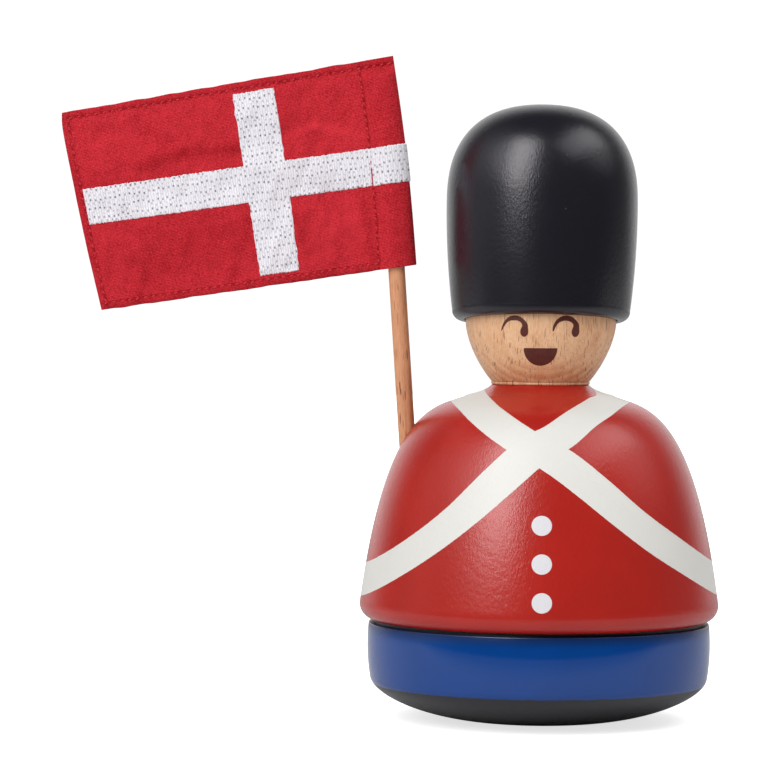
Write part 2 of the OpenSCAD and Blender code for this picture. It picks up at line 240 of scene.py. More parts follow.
def turning(name: str, outline: np.ndarray, angles: np.ndarray, place: np.ndarray | None = None,
            shift: Sequence[float] = (0, 0, 0), sharp: float = 40.0) -> bpy.types.Object:
    """Turns an outline about z: a point is (r cos a, r sin a, z), then rotated and shifted.

    Args:
        name: the piece's name.
        outline: points (r, z) from the axis, up the outside and back to the axis.
        angles: the angles of its columns, in radians, in rising order.
        place: a rotation for the turned points.
        shift: a move after that, in millimetres.
        sharp: edges bent by more than this many degrees stay crisp.
    Returns:
        The closed piece, with one point at each pole.
    """
    rings, turns = outline[1:-1], len(angles)
    wall = np.stack([np.outer(rings[:, 0], np.cos(angles)), np.outer(rings[:, 0], np.sin(angles)),
                     np.repeat(rings[:, 1:], turns, 1)], -1).reshape(-1, 3)
    poles = np.array([[0, 0, outline[0, 1]], [0, 0, outline[-1, 1]]])
    rotation = np.eye(3) if place is None else place
    points = np.concatenate([wall, poles]) @ rotation.T + np.array(shift)
    here = np.arange(turns)
    after = (here + 1) % turns
    first, last, top = len(wall), len(wall) + 1, (len(rings) - 1) * turns
    fans = np.concatenate([
        np.stack([np.full(turns, first), after, here], -1),
        np.stack([np.full(turns, last), here + top, after + top], -1)])
    faces = grid_faces(len(rings), turns, ring=True).tolist() + fans.tolist()
    return make_piece(name, points, faces, sharp)


def points_of(piece: bpy.types.Object) -> np.ndarray:
    """The piece's points as an array, in millimetres."""
    flat = np.zeros(len(piece.data.vertices) * 3, np.float32)
    piece.data.vertices.foreach_get("co", flat)
    return flat.reshape(-1, 3).astype(float) / MM


def set_attribute(piece: bpy.types.Object, name: str, values: np.ndarray) -> None:
    """Keeps one number per point on the piece, for its material to read."""
    made = piece.data.attributes.new(name, "FLOAT", "POINT")
    made.data.foreach_set("value", values.astype(np.float32).ravel())


def set_uv(piece: bpy.types.Object, flat: np.ndarray) -> None:
    """Gives the piece a UV map named cloth from one flat place, in millimetres, per point."""
    made = piece.data.uv_layers.new(name="cloth")
    corner = np.zeros(len(piece.data.loops), np.int32)
    piece.data.loops.foreach_get("vertex_index", corner)
    made.data.foreach_set("uv", flat[corner].astype(np.float32).ravel())


# Shader graphs


class Wire:
    """A value in a shader graph. Plain arithmetic on it adds the nodes that work it out."""

    def __init__(self, graph: "Graph", socket: bpy.types.NodeSocket) -> None:
        """Keeps the graph and the socket that gives the value."""
        self.graph, self.socket = graph, socket

    def is_vector(self) -> bool:
        """Whether the value is a vector."""
        return self.socket.type == "VECTOR"

    def __add__(self, other: Value) -> "Wire":
        """Adds."""
        return self.graph.math("ADD", self, other)

    def __sub__(self, other: Value) -> "Wire":
        """Subtracts."""
        return self.graph.math("SUBTRACT", self, other)

    def __rsub__(self, other: Value) -> "Wire":
        """Subtracts this from a plain number."""
        return self.graph.math("SUBTRACT", other, self)

    def __mul__(self, other: Value) -> "Wire":
        """Multiplies."""
        return self.graph.math("MULTIPLY", self, other)

    def __truediv__(self, other: Value) -> "Wire":
        """Divides."""
        return self.graph.math("DIVIDE", self, other)


class Outputs:
    """The outputs of a node just added, read by name or by number."""

    def __init__(self, graph: "Graph", node: bpy.types.Node) -> None:
        """Keeps the graph and the node."""
        self.graph, self.node = graph, node

    def __getitem__(self, key: str | int) -> Wire:
        """One of the outputs."""
        return Wire(self.graph, self.node.outputs[key])


class Graph:
    """Adds nodes to one shader tree and links them."""

    def __init__(self, tree: bpy.types.NodeTree) -> None:
        """Keeps the tree that nodes are added to."""
        self.tree = tree

    def fill(self, node: bpy.types.Node, inputs: dict[str | int, Value]) -> None:
        """Links wires to a node's inputs, and sets the others to their constants."""
        for key, value in inputs.items():
            socket = node.inputs[key]
            if isinstance(value, Wire):
                self.tree.links.new(value.socket, socket)
            elif socket.type == "RGBA":
                socket.default_value = (*value, 1.0)
            else:
                socket.default_value = value

    def add(self, kind: str, inputs: dict[str | int, Value] | None = None, **settings) -> Outputs:
        """Adds a node.

        Args:
            kind: the node's type, without the word ShaderNode.
            inputs: values for its inputs, by name or number.
            settings: its other properties.
        Returns:
            The node's outputs.
        """
        made = self.tree.nodes.new("ShaderNode" + kind)
        for name, value in settings.items():
            setattr(made, name, value)
        self.fill(made, inputs or {})
        return Outputs(self, made)

    def math(self, kind: str, *values: Value) -> Wire:
        """One step of arithmetic, on vectors where any of the values is one.

        Args:
            kind: the operation, by Blender's name.
            values: what it works on.
        Returns:
            The result, a vector where the kind of step on vectors gives one.
        """
        vectors = any(value.is_vector() if isinstance(value, Wire) else isinstance(value, tuple)
                      for value in values)
        node = "VectorMath" if vectors else "Math"
        made = self.add(node, dict(enumerate(values)), operation=kind)
        gives_vector = vectors and kind not in ("DISTANCE", "LENGTH", "DOT_PRODUCT")
        return made["Vector" if gives_vector else "Value"]

    def join(self, *parts: Value) -> Wire:
        """A vector of up to three numbers."""
        return self.add("CombineXYZ", dict(enumerate(parts)))[0]

    def parts(self, vector: Wire) -> tuple[Wire, Wire, Wire]:
        """The three numbers of a vector."""
        made = self.add("SeparateXYZ", {0: vector})
        return made[0], made[1], made[2]

    def step(self, value: Wire, low: float, high: float) -> Wire:
        """A smooth step from 0 where value is low to 1 where it is high."""
        return self.add("MapRange", {"Value": value, "From Min": low, "From Max": high},
                        interpolation_type="SMOOTHSTEP")[0]

    def blend(self, share: Wire, first: Value, second: Value) -> Wire:
        """A colour that goes from first to second with the share."""
        return self.add("Mix", {0: share, 6: first, 7: second}, data_type="RGBA")[2]

    def noise(self, place: Wire, scale: float, detail: float = 2.0, rough: float = 0.5) -> Wire:
        """Soft noise, about 0.5, at so many patches per millimetre."""
        return self.add("TexNoise", {"Vector": place, "Scale": scale, "Detail": detail,
                                     "Roughness": rough})[0]

    def waver(self, place: Wire, scale: float, size: float, detail: float = 2.0,
              rough: float = 0.5) -> Wire:
        """Soft noise about 0, times a size."""
        return (self.noise(place, scale, detail, rough) - 0.5) * size

    def cells(self, place: Wire) -> Outputs:
        """The nearest of a scatter of points, one to each unit cell."""
        return self.add("TexVoronoi", {"Vector": place, "Scale": 1.0})

    def object_mm(self) -> Wire:
        """Object coordinates in millimetres."""
        return self.add("TexCoord")["Object"] * (1000.0, 1000.0, 1000.0)

    def cloth_mm(self) -> Wire:
        """The flat place on the cloth, in millimetres."""
        return self.add("UVMap", uv_map="cloth")[0]

    def attribute(self, name: str) -> Wire:
        """A number kept on the piece's points."""
        return self.add("Attribute", attribute_name=name)["Fac"]


def make_group(name: str, inputs: dict[str, float | None],
               fill: Callable[[Graph, Outputs], dict[str, Wire]]) -> bpy.types.NodeTree:
    """Makes a shader node group.

    Args:
        name: the group's name.
        inputs: its inputs by name, with their values, or None for a vector.
        fill: adds its nodes and gives its outputs by name, all of them numbers.
    Returns:
        The group.
    """
    tree = bpy.data.node_groups.new(name, "ShaderNodeTree")
    for label, value in inputs.items():
        kind = "NodeSocketVector" if value is None else "NodeSocketFloat"
        socket = tree.interface.new_socket(label, in_out="INPUT", socket_type=kind)
        if value is not None:
            socket.default_value = value
    graph = Graph(tree)
    results = fill(graph, Outputs(graph, tree.nodes.new("NodeGroupInput")))
    for label in results:
        tree.interface.new_socket(label, in_out="OUTPUT", socket_type="NodeSocketFloat")
    graph.fill(tree.nodes.new("NodeGroupOutput"), results)
    return tree


# Effects that several finishes share


def paint_film(g: Graph, into: Outputs) -> dict[str, Wire]:
    """The skin of paint on turned wood.

    Its height is orange peel, plus the wood's upright grain telegraphing through, plus dust
    under the paint. The speck mask marks the tips of that dust.

    Args:
        g: the group's graph.
        into: its inputs: Vector in mm, and Peel, Grain and Dust in mm.
    Returns:
        Height in mm and Speck.
    """
    place = into["Vector"]
    peel = g.noise(place, 0.85, 1.0) * into["Peel"]
    grain = g.noise(place * (2.5, 2.5, 0.95), 1.0, 2.0, 0.6) * into["Grain"]
    near = g.cells(place * (0.2, 0.2, 0.2))["Distance"]
    speck = g.step(near, 0.042, 0.012)
    return {"Height": peel + grain + speck * into["Dust"], "Speck": speck}


def beech_grain(g: Graph, into: Outputs) -> dict[str, Wire]:
    """Beech wood with its grain along z and its pith upright behind the figure.

    Flecks are the wood's rays, thin plates that run on across the rings, so they show as short
    upright dashes in front. Rings are waves of the distance from the pith, bent by noise, and
    are strongest, with the wood darker, near the pith and low down. Pores are fine noise drawn
    out along the grain, and bands are coarser noise of that kind.

    Args:
        g: the group's graph.
        into: its inputs: Vector in mm, and Fleck_width, Fleck_length and Ring in mm.
    Returns:
        Fleck, Ring, Tone, and Height in mm.
    """
    place, fleck_w = into["Vector"], into["Fleck_width"]
    pith = g.math("LENGTH", (place - PITH) * (1.0, 1.0, 0.0))
    inner_low = g.step(pith, 33.6, 30.6) * g.step(g.parts(place)[2], 85.5, 80.5)
    cell = g.join(fleck_w, fleck_w * 6.0, into["Fleck_length"])
    wander = g.noise(place * (0.3, 0.3, 0.06), 1.0, 1.0) * 0.9
    found = g.cells((place + g.join(wander)) / cell)
    chance = g.parts(found["Color"])
    inside = chance[0] * chance[0] * 0.20 + 0.20 - found["Distance"]
    fleck = g.step(inside, 0.0, 0.07) * (chance[1] * 0.75 + 0.25) * (inner_low * 0.25 + 0.75)
    turn = g.math("FRACT", (pith + g.waver(place, 0.08, 1.4, 1.0)) / into["Ring"])
    wave = g.step(turn, 0.9, 0.2) * g.step(turn, 0.0, 0.12)
    pores = g.noise(place * (4.2, 4.2, 0.42), 1.0, 3.0, 0.7)
    bands = g.waver(place * (0.5, 0.5, 0.05), 1.0, 0.7)
    return {"Fleck": fleck, "Ring": inner_low * 0.5 + wave * (inner_low * 0.85 + 0.15),
            "Tone": bands + (pores - 0.5) * 1.3, "Height": pores * 0.020 - fleck * 0.010}


def plain_weave(g: Graph, into: Outputs) -> dict[str, Wire]:
    """Plain weave: warp over weft where the cell number is even, each thread a rounded ridge.

    Args:
        g: the group's graph.
        into: its inputs: Vector in mm on the cloth, and Pitch in mm.
    Returns:
        Height in shares of a thread, and Slub, an uneven tone along single threads.
    """
    place = into["Vector"] / g.join(into["Pitch"], into["Pitch"], 1.0)
    across, down, _ = g.parts(place)
    ridges = [g.math("ABSOLUTE", g.math("SINE", part * np.pi)) for part in (across, down)]
    cell = g.math("FLOOR", across) + g.math("FLOOR", down)
    odd = g.math("MODULO", g.math("ABSOLUTE", cell), 2.0)
    over = (1.0 - odd) * ridges[1] * g.math("POWER", ridges[0], 0.5)
    warp = g.noise(place * (1.0, 0.035, 1.0), 0.8, 2.0, 0.7)
    weft = g.noise(place * (0.035, 1.0, 1.0), 0.8, 2.0, 0.7)
    return {"Height": odd * ridges[0] * ridges[1] + over, "Slub": warp + weft - 1.0}


@dataclass
class Effects:
    """The node groups that the finishes share, each built once."""

    film: bpy.types.NodeTree = field(default_factory=lambda: make_group(
        "paint_film", {"Vector": None, "Peel": 0.004, "Grain": 0.004, "Dust": 0.03}, paint_film))
    beech: bpy.types.NodeTree = field(default_factory=lambda: make_group(
        "beech_grain", {"Vector": None, "Fleck_width": 0.36, "Fleck_length": 2.2, "Ring": 1.5},
        beech_grain))
    weave: bpy.types.NodeTree = field(default_factory=lambda: make_group(
        "plain_weave", {"Vector": None, "Pitch": 0.34}, plain_weave))


# Finishes


@dataclass(frozen=True)
class Finish:
    """A material. Each kind of it says what goes into its Principled shader."""

    name: str

    def inputs(self, g: Graph, effects: Effects) -> dict[str, Value]:
        """What the shader gets.

        Args:
            g: the material's graph.
            effects: the shared groups.
        Returns:
            Values for the shader's inputs by name, and Height, the relief in mm, if it has one.
        """
        raise NotImplementedError

    def build(self, effects: Effects) -> bpy.types.Material:
        """Makes the material."""
        material = bpy.data.materials.new(self.name)
        material.use_nodes = True
        tree = material.node_tree
        shader = next(node for node in tree.nodes if node.type == "BSDF_PRINCIPLED")
        g = Graph(tree)
        values = self.inputs(g, effects)
        height = values.pop("Height", None)
        if height is not None:
            values["Normal"] = g.add("Bump", {"Height": height, "Strength": 1.0, "Distance": MM})[0]
        g.fill(shader, values)
        return material


@dataclass(frozen=True)
class CoatPaint(Finish):
    """Glossy red paint with white belts and dots painted on it.

    It reads the attributes belt_a and belt_b, how far inside each belt a point is, in mm.
    """

    red: Colour = srgb(167, 30, 21)
    white: Colour = srgb(214, 214, 209)
    dot_white: Colour = srgb(211, 211, 215)
    speck: Colour = srgb(235, 160, 150)
    dots: tuple[tuple[float, float, float], ...] = (
        (-0.95, -38.23, 47.66), (-0.96, -40.03, 39.12), (-0.94, -41.42, 30.56))
    dot_r: float = 2.27
    edge_soft: float = 0.05
    gloss: float = 0.25
    white_duller: float = 0.22
    white_thick: float = 0.03
    peel: float = 0.036
    grain: float = 0.044
    dust_seen: float = 0.35

    def inputs(self, g: Graph, effects: Effects) -> dict[str, Value]:
        """Red that clouds a little, and a white that is thin in places laid over it."""
        place = g.object_mm()
        film = g.add("Group", {"Vector": place, "Peel": self.peel, "Grain": self.grain},
                     node_tree=effects.film)
        belts = g.math("MAXIMUM", g.attribute("belt_a"), g.attribute("belt_b"))
        near = [g.math("DISTANCE", place, dot) for dot in self.dots]
        disc = self.dot_r - g.math("MINIMUM", near[0], g.math("MINIMUM", *near[1:]))
        white = g.math("MAXIMUM", belts + g.waver(place, 2.2, 0.22), disc)
        cover = g.step(white, -self.edge_soft, self.edge_soft)
        dotted = g.step(disc, -self.edge_soft, self.edge_soft)
        cloud = g.step(g.noise(place, 0.06), 0.3, 0.75)
        red = g.blend(cloud, self.red, darker(self.red, 0.9))
        red = g.blend(film["Speck"] * self.dust_seen, red, self.speck)
        thin = g.noise(place * (1.6, 1.6, 0.25), 1.0) * 0.05
        pale = g.blend(thin, g.blend(dotted, self.white, self.dot_white), self.red)
        return {"Base Color": g.blend(cover, red, pale),
                "Roughness": cover * self.white_duller + self.gloss,
                "Specular IOR Level": 0.5,
                "Height": film["Height"] + g.step(white, -0.1, 0.14) * self.white_thick}


@dataclass(frozen=True)
class HatPaint(Finish):
    """Satin black paint."""

    black: Colour = srgb(24, 24, 30)
    speck: Colour = srgb(120, 120, 122)
    tint: Colour = (1.0, 0.96, 1.0)
    gloss: float = 0.22
    peel: float = 0.020
    grain: float = 0.050
    dust_seen: float = 0.35

    def inputs(self, g: Graph, effects: Effects) -> dict[str, Value]:
        """Black with dust in it, whose gloss clouds a little."""
        place = g.object_mm()
        film = g.add("Group", {"Vector": place, "Peel": self.peel, "Grain": self.grain},
                     node_tree=effects.film)
        return {"Base Color": g.blend(film["Speck"] * self.dust_seen, self.black, self.speck),
                "Roughness": g.noise(place, 0.12, 3.0) * 0.08 + self.gloss,
                "Specular Tint": self.tint,
                "Height": film["Height"]}


@dataclass(frozen=True)
class BasePaint(Finish):
    """Blue paint round the side over black paint underneath.

    The colours meet at line_z, where the line wavers a little. Between the heights of shade_z
    the blue is darkened by painted shade and grows dull, where the coat's hem keeps the light
    off it, and at its very top, in the slit under the hem, it is painted black as a shadow.
    """

    blue: Colour = srgb(3, 58, 128)
    black: Colour = srgb(31, 31, 37)
    line_z: float = 8.6
    line_soft: float = 0.12
    gloss: float = 0.10
    black_duller: float = 0.24
    shade_z: tuple[float, float] = (19.6, 22.8)
    # heights where the slit under the hem is painted black, a painted shadow
    slit_shadow_z: tuple[float, float] = (22.5, 22.8)
    peel: float = 0.006
    grain: float = 0.001

    def inputs(self, g: Graph, effects: Effects) -> dict[str, Value]:
        """Black, and blue over it above the line."""
        place = g.object_mm()
        film = g.add("Group", {"Vector": place, "Peel": self.peel, "Grain": self.grain},
                     node_tree=effects.film)
        height = g.parts(place)[2]
        over = g.step(height + g.waver(place, 0.35, 0.5, 3.0),
                      self.line_z - self.line_soft, self.line_z + self.line_soft)
        cloud = g.step(g.noise(place, 0.08), 0.3, 0.7)
        blue = g.blend(cloud, self.blue, darker(self.blue, 0.92))
        # painted shade under the hem, and a painted shadow, black, in the slit just under it
        under = g.math("MAXIMUM", g.step(height, *self.shade_z) * 0.6,
                       g.step(height, *self.slit_shadow_z))
        blue = g.blend(under, blue, (0.0, 0.0, 0.0))
        return {"Base Color": g.blend(over, self.black, blue),
                "Roughness": (over * -self.black_duller
                              + (under * 0.3 + (self.gloss + self.black_duller))),
                "Height": film["Height"]}


@dataclass(frozen=True)
class Beech(Finish):
    """Beech under clear varnish, or bare, with an optional painted face.

    A face is where the attribute face, in mm, is above 0.
    """

    wood: Colour = srgb(228, 188, 149)
    deep: Colour = srgb(186, 121, 77)
    fleck: Colour = srgb(98, 40, 12)
    face: Colour = srgb(80, 24, 20)
    fleck_width: float = 0.30
    fleck_length: float = 4.6
    gloss: float = 0.42
    lean: float = 0.0
    has_face: bool = False

    def inputs(self, g: Graph, effects: Effects) -> dict[str, Value]:
        """The wood with its flecks, leaning as its piece does, and with a face, painted shade to
        +x.
        """
        place = g.object_mm()
        if self.lean:
            turn = (0.0, np.radians(self.lean), 0.0)
            place = g.add("Mapping", {"Vector": place, "Rotation": turn}, vector_type="POINT")[0]
        grain = g.add("Group", {"Vector": place, "Fleck_width": self.fleck_width,
                                "Fleck_length": self.fleck_length}, node_tree=effects.beech)
        tone = grain["Ring"] * 0.22 + (grain["Tone"] * 0.8 + 0.31)
        if self.has_face:
            # painted shade: the head's wood darker towards +x
            tone = tone + g.step(g.parts(place)[0], 0.0, 16.0) * 0.13
        colour = g.blend(g.step(tone, -0.1, 1.0), self.wood, self.deep)
        colour = g.blend(grain["Fleck"], colour, self.fleck)
        duller = grain["Fleck"] * 0.2
        if self.has_face:
            face = g.step(g.attribute("face") + g.waver(place, 3.0, 0.06, 1.0), -0.05, 0.05)
            colour = g.blend(face * (g.noise(place, 1.1) * 0.06 + 0.95), colour, self.face)
            duller = face * 0.1
        return {"Base Color": colour, "Roughness": duller + self.gloss,
                "Specular IOR Level": 0.35, "Height": grain["Height"]}


@dataclass(frozen=True)
class FlagCotton(Finish):
    """Red woven cotton with needle holes along its sewn lines.

    It reads the UV map cloth and the attributes seam and hem, in mm, and tone, the share of the
    darker red, which holds painted shade and painted light.
    """

    red: Colour = srgb(204, 48, 58)
    dark: Colour = srgb(140, 10, 22)
    sheen: Colour = srgb(255, 90, 95)
    pitch: float = 0.36
    weave_h: float = 0.045
    fuzz_h: float = 0.09
    groove_h: float = 0.16

    def inputs(self, g: Graph, effects: Effects) -> dict[str, Value]:
        """A red that is uneven at four scales, with painted shade in the grooves and between the
        weave's threads, and darker along the hems.
        """
        place = g.cloth_mm()
        weave = g.add("Group", {"Vector": place, "Pitch": self.pitch}, node_tree=effects.weave)
        lying = g.add("Mapping", {"Vector": place, "Rotation": (0.0, 0.0, np.radians(40.0)),
                                  "Scale": (0.9, 0.4, 1.0)}, vector_type="TEXTURE")[0]
        mottle = g.waver(place, 3.2, 1.3, 3.0, 0.75) + g.waver(lying, 1.3, 1.5, 2.0, 0.6)
        cloud = g.waver(place, 0.3, 0.55, 3.0, 0.6)
        # painted shade between the weave's threads, where its height is low
        deep = (0.55 - weave["Height"]) * 0.6
        # tone adds the flag's patches of painted shade and painted light
        tint = weave["Slub"] * 0.2 + g.attribute("tone") + (mottle + deep + cloud)
        dash = g.step(g.noise(place, 0.8, 1.0), 0.40, 0.56) * 0.75 + 0.25
        # painted shade in the sewn lines' grooves, which also sink in the relief
        groove_and_shade = g.step(g.attribute("seam"), 0.42, 0.10) * dash
        band = g.step(g.attribute("hem"), 0.2, -0.2)
        tint = tint + (groove_and_shade * 0.6 + band * 0.14)
        fuzz = g.noise(place, 4.0, 2.0, 0.6)
        return {"Base Color": g.blend(g.step(tint, 0.0, 1.1), self.red, self.dark),
                "Roughness": 0.9, "Specular IOR Level": 0.12,
                "Sheen Weight": 0.10, "Sheen Roughness": 0.4, "Sheen Tint": self.sheen,
                "Height": (weave["Height"] * self.weave_h
                           + (fuzz * self.fuzz_h + groove_and_shade * -self.groove_h))}


@dataclass(frozen=True)
class StitchThread(Finish):
    """Red sewing thread, a little glossier than the cloth."""

    red: Colour = srgb(199, 47, 56)
    ply_way: tuple[float, float, float] = (14.0, 14.0, 17.0)
    ply_h: float = 0.02

    def inputs(self, g: Graph, effects: Effects) -> dict[str, Value]:
        """Its plies are slanted waves on Object coordinates."""
        place = g.object_mm()
        plies = g.math("SINE", g.math("DOT_PRODUCT", place, self.ply_way))
        shade = g.step(plies * 0.2 + g.noise(place, 1.5), 0.2, 0.9)
        return {"Base Color": g.blend(shade, self.red, darker(self.red, 0.7)),
                "Roughness": 0.6, "Specular IOR Level": 0.2, "Height": plies * self.ply_h}


@dataclass(frozen=True)
class CrossThread(Finish):
    """White embroidery: upright rows of thread, tied down in staggered needle holes.

    It reads the UV map cloth, in mm.
    """

    white: Colour = srgb(228, 225, 231)
    shade: Colour = srgb(176, 172, 184)
    # the painted shade of a needle hole
    hole: Colour = srgb(66, 60, 78)
    thread_w: float = 0.58
    stitch_l: float = 4.46
    hole_size: tuple[float, float] = (0.21, 0.33)
    ridge_h: float = 0.10
    lay_h: float = 0.12
    hole_h: float = 0.22

    def holes(self, g: Graph, number: Wire, off: Wire, row: Wire, least: float) -> Wire:
        """Needle holes, one to a thread and stitch, each a little out of place.

        Args:
            g: the graph to add to.
            number, off: the thread's number and the share across it, from its middle.
            row: the share down the stitches.
            least: the strength of the faintest hole.
        Returns:
            The strength of a hole at each place.
        """
        span = (g.math("FRACT", row) - 0.5) * self.stitch_l
        draw = g.add("TexWhiteNoise", {"Vector": g.join(number, g.math("FLOOR", row))},
                     noise_dimensions="2D")
        chance = g.parts(draw["Color"])
        side = (chance[0] - 0.5) * 0.35 + off
        along = (chance[1] - 0.5) * 0.5 + span
        flat = g.join(side * (self.thread_w / self.hole_size[0]), along / self.hole_size[1])
        return g.step(g.math("LENGTH", flat), 1.2, 0.35) * (chance[2] * (1.0 - least) + least)

    def inputs(self, g: Graph, effects: Effects) -> dict[str, Value]:
        """Threads with painted shade in the gaps between them, and rows of holes painted dark as
        shade.
        """
        place = g.cloth_mm()
        across, down, _ = g.parts(place)
        column = across / self.thread_w
        number = g.math("FLOOR", column)
        off = g.math("FRACT", column) - 0.5
        draw = g.add("TexWhiteNoise", {"W": number}, noise_dimensions="1D")["Value"]
        odd = g.math("MODULO", g.math("ABSOLUTE", number), 2.0) * 0.5
        row = down / self.stitch_l + (draw * 0.07 + odd)
        faint = self.holes(g, number, off, row + 0.27, 0.0) * 0.65
        hole = g.math("MAXIMUM", self.holes(g, number, off, row, 0.6), faint)
        ridge = g.math("SQRT", g.math("MAXIMUM", 1.0 - off * off * 3.8, 0.02))
        lay = g.noise(place * (5.0, 1.5, 1.0), 1.0, 3.0, 0.7)
        # painted shade towards each thread's edges, in the gaps between threads
        soft = (lay - 0.5) * 1.5 + g.step(ridge, 0.85, 0.25) * 0.42
        colour = g.blend(g.step(soft, -0.15, 0.75), self.white, self.shade)
        # needle holes painted dark: painted shade in the holes
        return {"Base Color": g.blend(hole * 0.85, colour, self.hole),
                "Roughness": 0.55, "Sheen Weight": 0.15,
                "Height": ridge * self.ridge_h + (lay * self.lay_h + hole * -self.hole_h)}


@dataclass(frozen=True)
class PaleFloor(Finish):
    """A pale floor that the camera sees as white except in the figure's shadow.

    In the paint's reflections it is dark, apart from the stretches that the hem and the base
    mirror.
    """

    pale: Colour = (0.86, 0.86, 0.86)
    dark: Colour = (0.005, 0.005, 0.005)

    def inputs(self, g: Graph, effects: Effects) -> dict[str, Value]:
        """Pale for soft light, and by how far in front a place lies for reflections."""
        rays = g.add("LightPath")
        place = g.object_mm()
        far = g.step(g.math("LENGTH", place), 60.0, 420.0)
        ahead = g.parts(place)[1]
        mirrored = g.step(ahead, -216.0, -206.0) * 0.36 + g.step(ahead, -150.0, -60.0) * 0.44
        pale = g.math("MAXIMUM", mirrored, 1.0 - rays["Is Glossy Ray"])
        return {"Base Color": g.blend(pale, self.dark, self.pale),
                "Roughness": 0.9, "Specular IOR Level": 0.0,
                "Emission Color": (1.0, 1.0, 1.0),
                "Emission Strength": rays["Is Camera Ray"] * (far * 0.36 + 0.70)}


# Turnings


@dataclass(frozen=True)
class BaseTurning:
    """The round-bottomed base with a small flat foot."""

    radius: float = 40.0
    height: float = 23.3
    bulge_r: float = 49.0
    widest_z: float = 17.8
    round_h: float = 9.8
    foot_r: float = 12.0
    edge_r: float = 0.3
    curve: float = 1.85
    slit_h: float = 0.6
    slit_r: float = 38.3
    lid_r: float = 20.0

    def side(self, z: np.ndarray) -> np.ndarray:
        """Radius of the bulged side: an arc of radius bulge_r that is widest at widest_z."""
        return self.radius - self.bulge_r + np.sqrt(self.bulge_r ** 2 - (z - self.widest_z) ** 2)

    def outline(self) -> np.ndarray:
        """Foot flat, a superellipse out to the side, the side, its edge, a slit and the top."""
        out, up = superellipse(90, 0, 60, self.curve).T
        z = self.round_h * (1 - up)
        foot = np.stack([self.foot_r + (self.side(z) - self.foot_r) * out, z], -1)
        top = self.height - self.slit_h - self.edge_r
        wall = np.linspace(self.round_h, top, 41)[1:]
        edge = arc((self.side(np.array(top)) - self.edge_r, top), self.edge_r, 0, 90, 10)[1:]
        flats = np.linspace(0.5, 1, 4)[:-1, None]
        lid = [[self.slit_r, self.height - self.slit_h], [self.slit_r, self.height],
               [self.lid_r, self.height], [0, self.height]]
        return np.concatenate([[[0, 0]], flats * foot[0], foot,
                               np.stack([self.side(wall), wall], -1), edge, lid])

    def build(self) -> bpy.types.Object:
        """Turns the outline."""
        return turning("base_turning", self.outline(), full_turn(288))


